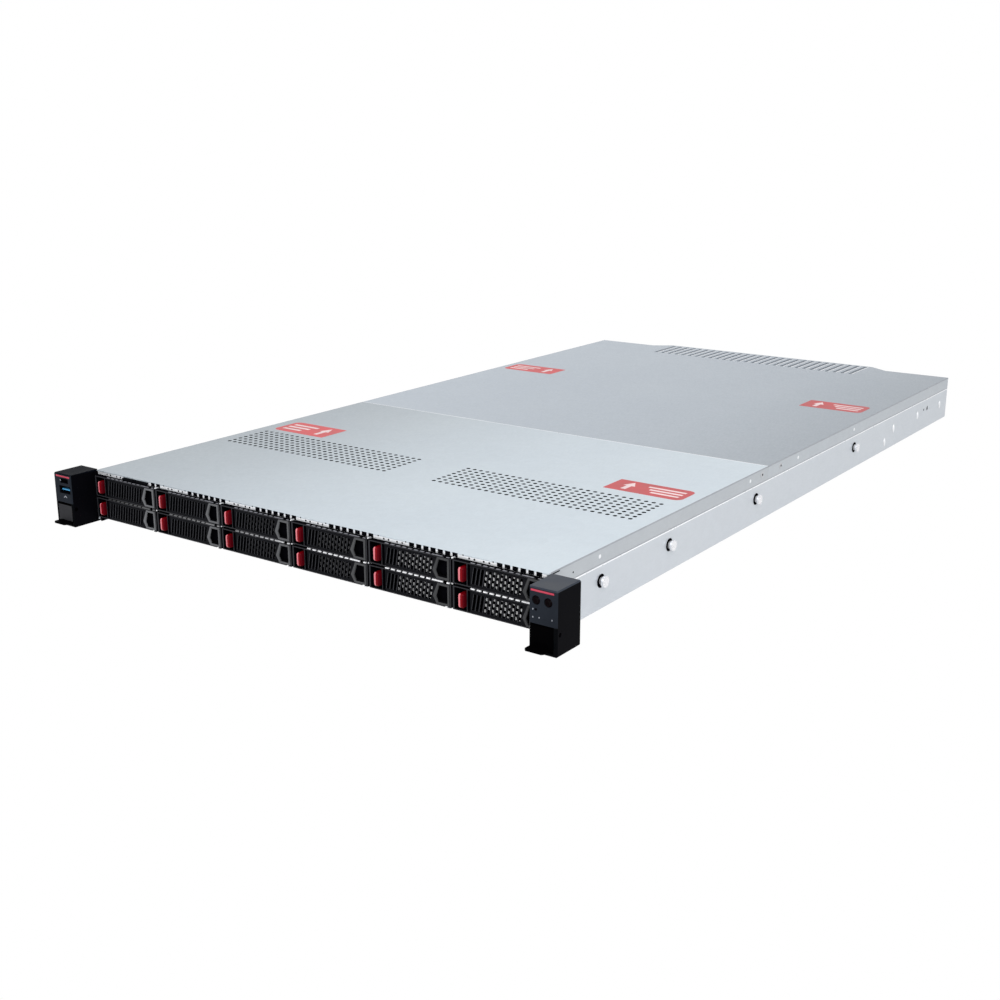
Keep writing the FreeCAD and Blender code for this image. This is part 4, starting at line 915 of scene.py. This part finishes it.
# ---- Strip over the drives ----
UPPER_DOTS = (6.8, 31.0)
LOWER_DOTS = (11.8, 16.0, 23.5, 28.0)
UPPER_DOT = (COVER_Z + 0.35, 0.55)       # height and radius
LOWER_DOT = (STRIP_Z + 1.3, 0.75)
DOT_SIDES = 12
STRIP_SQUARES = 7
STRIP_SQUARE = 4.3
STRIP_PITCH = 6.1
STRIP_PAST = 2.4         # the last square ends this far past the bay's right boundary
TAG_ROOM = 1.0
TAG_DOT_ROOM = 1.5
BEHIND_STRIP = (0.7, 0.79)
SQUARE_Y = (-0.04, 0.2)          # from the strip's front
SQUARE_MARGINS = (0.1, 0.25)     # above the strip's lower edge and below the top
DOT_PROUD = 0.03
TAB_HALF = 0.5
TAB_HEIGHT = 0.9
TAB_ENDS = 0.2


def strip_details():
    """Black blocks behind the strip's square holes and black discs for its small round holes, both painted shade,
    and the cage's tabs.
    """
    tag_left, tag_right = box_mm("info_tag")[:2]
    left_end, right_start = tag_left - TAG_ROOM, tag_right + TAG_ROOM
    dark = bmesh.new()
    for x0, x1 in ((-CAGE_HALF, left_end), (right_start, CAGE_HALF)):
        block(dark, x0, x1, *[FRONT_Y + y for y in BEHIND_STRIP], STRIP_Z, COVER_Z)
    for column in range(COLUMNS):
        for k in range(STRIP_SQUARES):
            x = bay_left(column + 1) + STRIP_PAST - k * STRIP_PITCH
            if (x < left_end or x - STRIP_SQUARE > right_start) and x < CAGE_HALF:
                block(dark, x - STRIP_SQUARE, x, *[FRONT_Y + y for y in SQUARE_Y],
                      STRIP_Z + SQUARE_MARGINS[0], TOP_Z - SQUARE_MARGINS[1])
        for u in UPPER_DOTS + LOWER_DOTS:
            x = bay_left(column) + u
            z, radius = UPPER_DOT if u in UPPER_DOTS else LOWER_DOT
            if x < tag_left - TAG_DOT_ROOM or x > tag_right + TAG_DOT_ROOM:
                dot = [(0, 0), (0, radius), (0.1, 0.5)]
                lathe(dark, (x, FRONT_Y - DOT_PROUD, z), "Y", dot, DOT_SIDES)
    piece("strip_holes", dark, DEEP_BLACK, "chassis")
    tabs = bmesh.new()
    for column in range(1, COLUMNS):
        x = bay_left(column)
        for z in (STRIP_Z - 0.2, CAGE_FLOOR_Z + ROW_PITCH + 0.1):
            block(tabs, x - TAB_HALF, x + TAB_HALF, FACE_Y + TAB_ENDS, FRONT_Y + TAB_ENDS,
                  z, z + TAB_HEIGHT)
    piece("cage_tabs", tabs, CAGE_STEEL, "chassis", 0.2)


# ---- Ears ----
STRIPE_Z = (40.3, 41.7)
STRIPE_ENDS = (1.2, 2.5)     # from the ear's inner and outer side
STRIPE_DEPTH = (0.08, 0.39)  # behind the ear's foremost plane
MARK_BAR = ((-0.35, -0.5), (0.35, -0.5), (0.35, 0.5), (-0.35, 0.5))
MARK_ARROW = ((-2.0, -0.7), (0.0, 0.9), (2.0, -0.7), (1.2, -0.9), (0.0, 0.1), (-1.2, -0.9))
MARKS = ((223.5, 28.7, MARK_BAR, 1.0), (223.5, 23.5, MARK_BAR, 1.0), (228.1, 23.9, MARK_BAR, 1.0),
         (237.5, 24.1, MARK_BAR, 1.0), (-228.6, 24.6, MARK_ARROW, 1.1),
         (-233.4, 37.8, MARK_BAR, 1.3))      # x, z, outline, scale
MARK_BACK = 0.05
MARK_DEPTH = 0.09
PINHOLE = (225.6, 28.8, 0.9)     # x, z, radius
BUTTON_PROFILE = ((0.25, 0), (0.2, 1.0), (0.0, 1.7), (0.1, 2.3), (0.5, 2.65), (2.5, 2.65))
BUTTON_SIDES = 32
BUTTON_RIM = 0.8


def ear_marks():
    """Red stripes, generic printed marks and a pinhole on the two ears."""
    stripes, light, dark = bmesh.new(), bmesh.new(), bmesh.new()
    for side, _ in SIDES:
        block(stripes, *mirrored(side, EAR_X0 + STRIPE_ENDS[0], EAR_X1 - STRIPE_ENDS[1]),
              EAR_FRONT + STRIPE_DEPTH[0], EAR_FRONT + STRIPE_DEPTH[1], *STRIPE_Z)
    piece("ear_stripes", stripes, STRIPE_RED, "chassis")
    for x, z, outline, scale in MARKS:
        points = [(x + scale * u, EAR_FRONT + MARK_BACK, z + scale * v) for u, v in outline]
        extruded(light, points, (0, -MARK_DEPTH, 0))
    piece("ear_marks", light, ICON_WHITE, "chassis")
    x, z, radius = PINHOLE
    hole = [(0, 0), (0, radius), (0.1, radius)]
    lathe(dark, (x, EAR_FRONT - DOT_PROUD, z), "Y", hole, FINE_SIDES)
    # The pinhole is a black disc: painted shade.
    piece("ear_pinhole", dark, DEEP_BLACK, "chassis")


def panel_button(name):
    """Domed round button with its rim behind the panel."""
    x0, x1, y0, y1, z0, z1 = box_mm(name)
    shape = bmesh.new()
    lathe(shape, ((x0 + x1) / 2, y0, (z0 + z1) / 2), "Y", BUTTON_PROFILE, BUTTON_SIDES)
    block(shape, x0, x1, y1 - BUTTON_RIM, y1, z0, z1)
    piece(f"{name}_cap", shape, BUTTON_BLACK, name, replaces=[name])


# ---- Camera, light and floor ----
CAMERA_LENS = 47.7
CAMERA_SENSOR = 36.0
CAMERA_PLACE = (0.6470, -0.6562, 0.3178)
CAMERA_YAW, CAMERA_PITCH = math.radians(35.44), math.radians(16.17)
SKY = (0.94, 0.97, 1.0)
SKY_STRENGTH = 0.55
LAMPS = (("overhead", (0.3, 0.3, 1.9), (0.0, 0.3, 0.0), 2.2, 16.0),
         ("side", (1.2, -0.9, 0.9), (0.2, 0.1, 0.0), 0.8, 15.0),
         ("front", (-0.9, -1.7, 0.8), (0.0, 0.0, 0.0), 0.8, 9.0))    # place, target, size, watts
FLOOR_PLACE = (0, 0.4, -0.0005)
FLOOR_REACH = 6.0
WHITE = (1, 1, 1, 1)


def placed(name, data, place, direction):
    """An object of the stage that looks in a direction."""
    thing = bpy.data.objects.new(name, data)
    bpy.context.scene.collection.objects.link(thing)
    thing.location = place
    thing.rotation_mode = "QUATERNION"
    thing.rotation_quaternion = direction.to_track_quat("-Z", "Y")
    return thing


def camera():
    data = bpy.data.cameras.new("camera")
    data.lens = CAMERA_LENS
    data.sensor_width = CAMERA_SENSOR
    data.clip_start = 0.01
    data.clip_end = 50.0
    look = Vector((-math.sin(CAMERA_YAW) * math.cos(CAMERA_PITCH),
                   math.cos(CAMERA_YAW) * math.cos(CAMERA_PITCH), -math.sin(CAMERA_PITCH)))
    bpy.context.scene.camera = placed("camera", data, CAMERA_PLACE, look)


def soft_light(name, place, target, size, watts):
    data = bpy.data.lights.new(name, "AREA")
    data.shape = "SQUARE"
    data.size = size
    data.energy = watts
    placed(name, data, place, Vector(target) - Vector(place))


def white_backdrop(tree, shader, white):
    """Shows white to the camera, glossy and transmission rays, and the shader to the rest."""
    path = tree.nodes.new("ShaderNodeLightPath")
    total = path.outputs["Is Camera Ray"]
    for name in ("Is Glossy Ray", "Is Transmission Ray"):
        either = tree.nodes.new("ShaderNodeMath")
        either.operation = "MAXIMUM"
        tree.links.new(total, either.inputs[0])
        tree.links.new(path.outputs[name], either.inputs[1])
        total = either.outputs[0]
    mix = tree.nodes.new("ShaderNodeMixShader")
    for source, target in zip((total, shader, white), mix.inputs):
        tree.links.new(source, target)
    return mix.outputs[0]


def studio():
    world = bpy.data.worlds.new("studio")
    bpy.context.scene.world = world
    world.use_nodes = True
    tree = world.node_tree
    dim = tree.nodes["Background"]
    dim.inputs["Color"].default_value = (*SKY, 1)
    dim.inputs["Strength"].default_value = SKY_STRENGTH
    white = tree.nodes.new("ShaderNodeBackground")
    white.inputs["Color"].default_value = WHITE
    white.inputs["Strength"].default_value = 1.0
    tree.links.new(white_backdrop(tree, dim.outputs[0], white.outputs[0]),
                   tree.nodes["World Output"].inputs["Surface"])
    for lamp in LAMPS:
        soft_light(*lamp)


def floor():
    """A pale floor that takes the object's shadow."""
    shape = bmesh.new()
    bmesh.ops.create_grid(shape, x_segments=8, y_segments=8, size=FLOOR_REACH)
    thing = mesh_object("floor", shape)
    thing.location = FLOOR_PLACE
    material = new_material("floor", grey(0.93), 0.8)
    tree = material.node_tree
    white = tree.nodes.new("ShaderNodeEmission")
    white.inputs["Color"].default_value = WHITE
    tree.links.new(white_backdrop(tree, surface_of(material).outputs[0], white.outputs[0]),
                   tree.nodes["Material Output"].inputs["Surface"])
    thing.data.materials.append(material)


# ---- Finishes of the carried-over nodes ----
NEAR = 0.05              # in front of or behind a plane by more than this
EAR_CAP = 0.9            # depth of the ears' top faces; the right ear's lighter bluish top is painted sheen
EAR_PANEL = 0.85         # depth of the ear's front panel
LEVER_TAB_Z = 6.0
WALL_INSIDE = 0.95
FRONT_REACH = 100.0      # the walls carry black painted shade on the inside up to here
FLOOR_FACE_Z = 1.05
CARRIER_BACK_Y = 6.55    # the drive starts behind this
USB_TONGUE = (-228.6, 30.2)
USB_TONGUE_HALF = (5.2, 0.6)
SINK_X = (50.0, 135.0)
SINK_Z = 8.65
SUPPLY_INLET = (13.2, 1.05)      # in front of the rear wall


def dress(node, *materials, pick=None):
    """Gives a CAD node its materials. pick chooses one from a face's middle, in millimetres."""
    thing = frame["nodes"][node]
    slots = thing.data.materials
    slots.clear()
    for material in materials:
        slots.append(material)
    if pick:
        for face in thing.data.polygons:
            face.material_index = pick(*(thing.matrix_world @ face.center / MM))


def pick_ear(x, y, z):
    """Housing 0, top of the right ear in painted sheen 1, panel 2, steel flange 3, top of the left ear 4."""
    if y > NEAR:
        return 3
    if z > TOP_Z - EAR_CAP:
        return 1 if x > 0 else 4
    return 2 if y < EAR_FRONT + EAR_PANEL else 0


def pick_lever(x, y, z):
    """Body 0, front of its upper part 1."""
    return 1 if y < EAR_FRONT + NEAR and z > LEVER_TAB_Z else 0


def pick_chassis(x, y, z):
    """Bare steel 0, front edges and inner faces beside the carriers in black, as painted shade, 1."""
    is_inside = abs(x) < HALF - WALL_INSIDE and y < FRONT_REACH and z > FLOOR_FACE_Z
    return 1 if y < FRONT_Y + NEAR or is_inside else 0


def pick_carrier(x, y, z):
    """Grey frame front 0, black painted shade inside its recess 1, metal drive 2."""
    if y > CARRIER_BACK_Y:
        return 2
    return 1 if y > FACE_Y + 2 * NEAR else 0


def pick_port(x, y, z):
    """Steel rear ports 0, blue tongue in the front ports 1, their dark shells 2."""
    if y >= 0:
        return 0
    is_tongue = (abs(x - USB_TONGUE[0]) < USB_TONGUE_HALF[0]
                 and abs(z - USB_TONGUE[1]) < USB_TONGUE_HALF[1])
    return 1 if is_tongue else 2


def pick_board(x, y, z):
    """Bare metal heat sinks 0, green boards and memory modules 1."""
    return 0 if SINK_X[0] < abs(x) < SINK_X[1] and z > SINK_Z else 1


def pick_supply(x, y, z):
    """Steel case 0, black bail and inlet 1."""
    is_inlet = REAR_Y - SUPPLY_INLET[0] < y < REAR_Y - SUPPLY_INLET[1]
    return 1 if y > REAR_Y + NEAR or is_inlet else 0


PLAIN = {"rail_studs": STUD_STEEL, "drive_cage": CAGE_STEEL, "backplane": BOARD_GREEN,
         "fan_frames": FAN_BLACK, "info_tag": EAR_BLACK}


def dress_all():
    for node, material in PLAIN.items():
        dress(node, material)
    for side, front in (("left", LEVER_GREY), ("right", LEVER_BLACK)):
        dress(f"ear_{side}", EAR_BLACK, EAR_TOP_SHEEN, PANEL_BLACK, SIDE_STEEL, EAR_TOP_LEFT,
              pick=pick_ear)
        dress(f"rack_lever_{side}", LEVER_BLACK, front, pick=pick_lever)
    dress("chassis_base", SIDE_STEEL, EAR_BLACK, pick=pick_chassis)
    dress("mainboard", ALUMINIUM, BOARD_GREEN, pick=pick_board)
    dress("connector_ports", PORT_STEEL, USB_BLUE, DEEP_BLACK, pick=pick_port)
    for node in frame["nodes"]:
        if node.startswith("power_supply"):
            dress(node, SUPPLY_STEEL, CARRIER_BLACK, pick=pick_supply)
        elif node.startswith("fan_rotor"):
            dress(node, FAN_BLACK)
        elif node.startswith("drive_carrier"):
            dress(node, FRAME_GREY, DEEP_BLACK, ALUMINIUM, pick=pick_carrier)


dress_all()
front_cover()
rear_cover()
for name, y, body in SCREWS:
    screw(name, y, body)
skirt_spots()
wall_lines()
side_bumps()
for place in STICKERS:
    sticker(*place)
bays()
strip_details()
ear_marks()
for name in ("power_button", "locator_button"):
    panel_button(name)
stud_rings()
camera()
studio()
floor()
bpy.context.scene.view_settings.view_transform = "Standard"
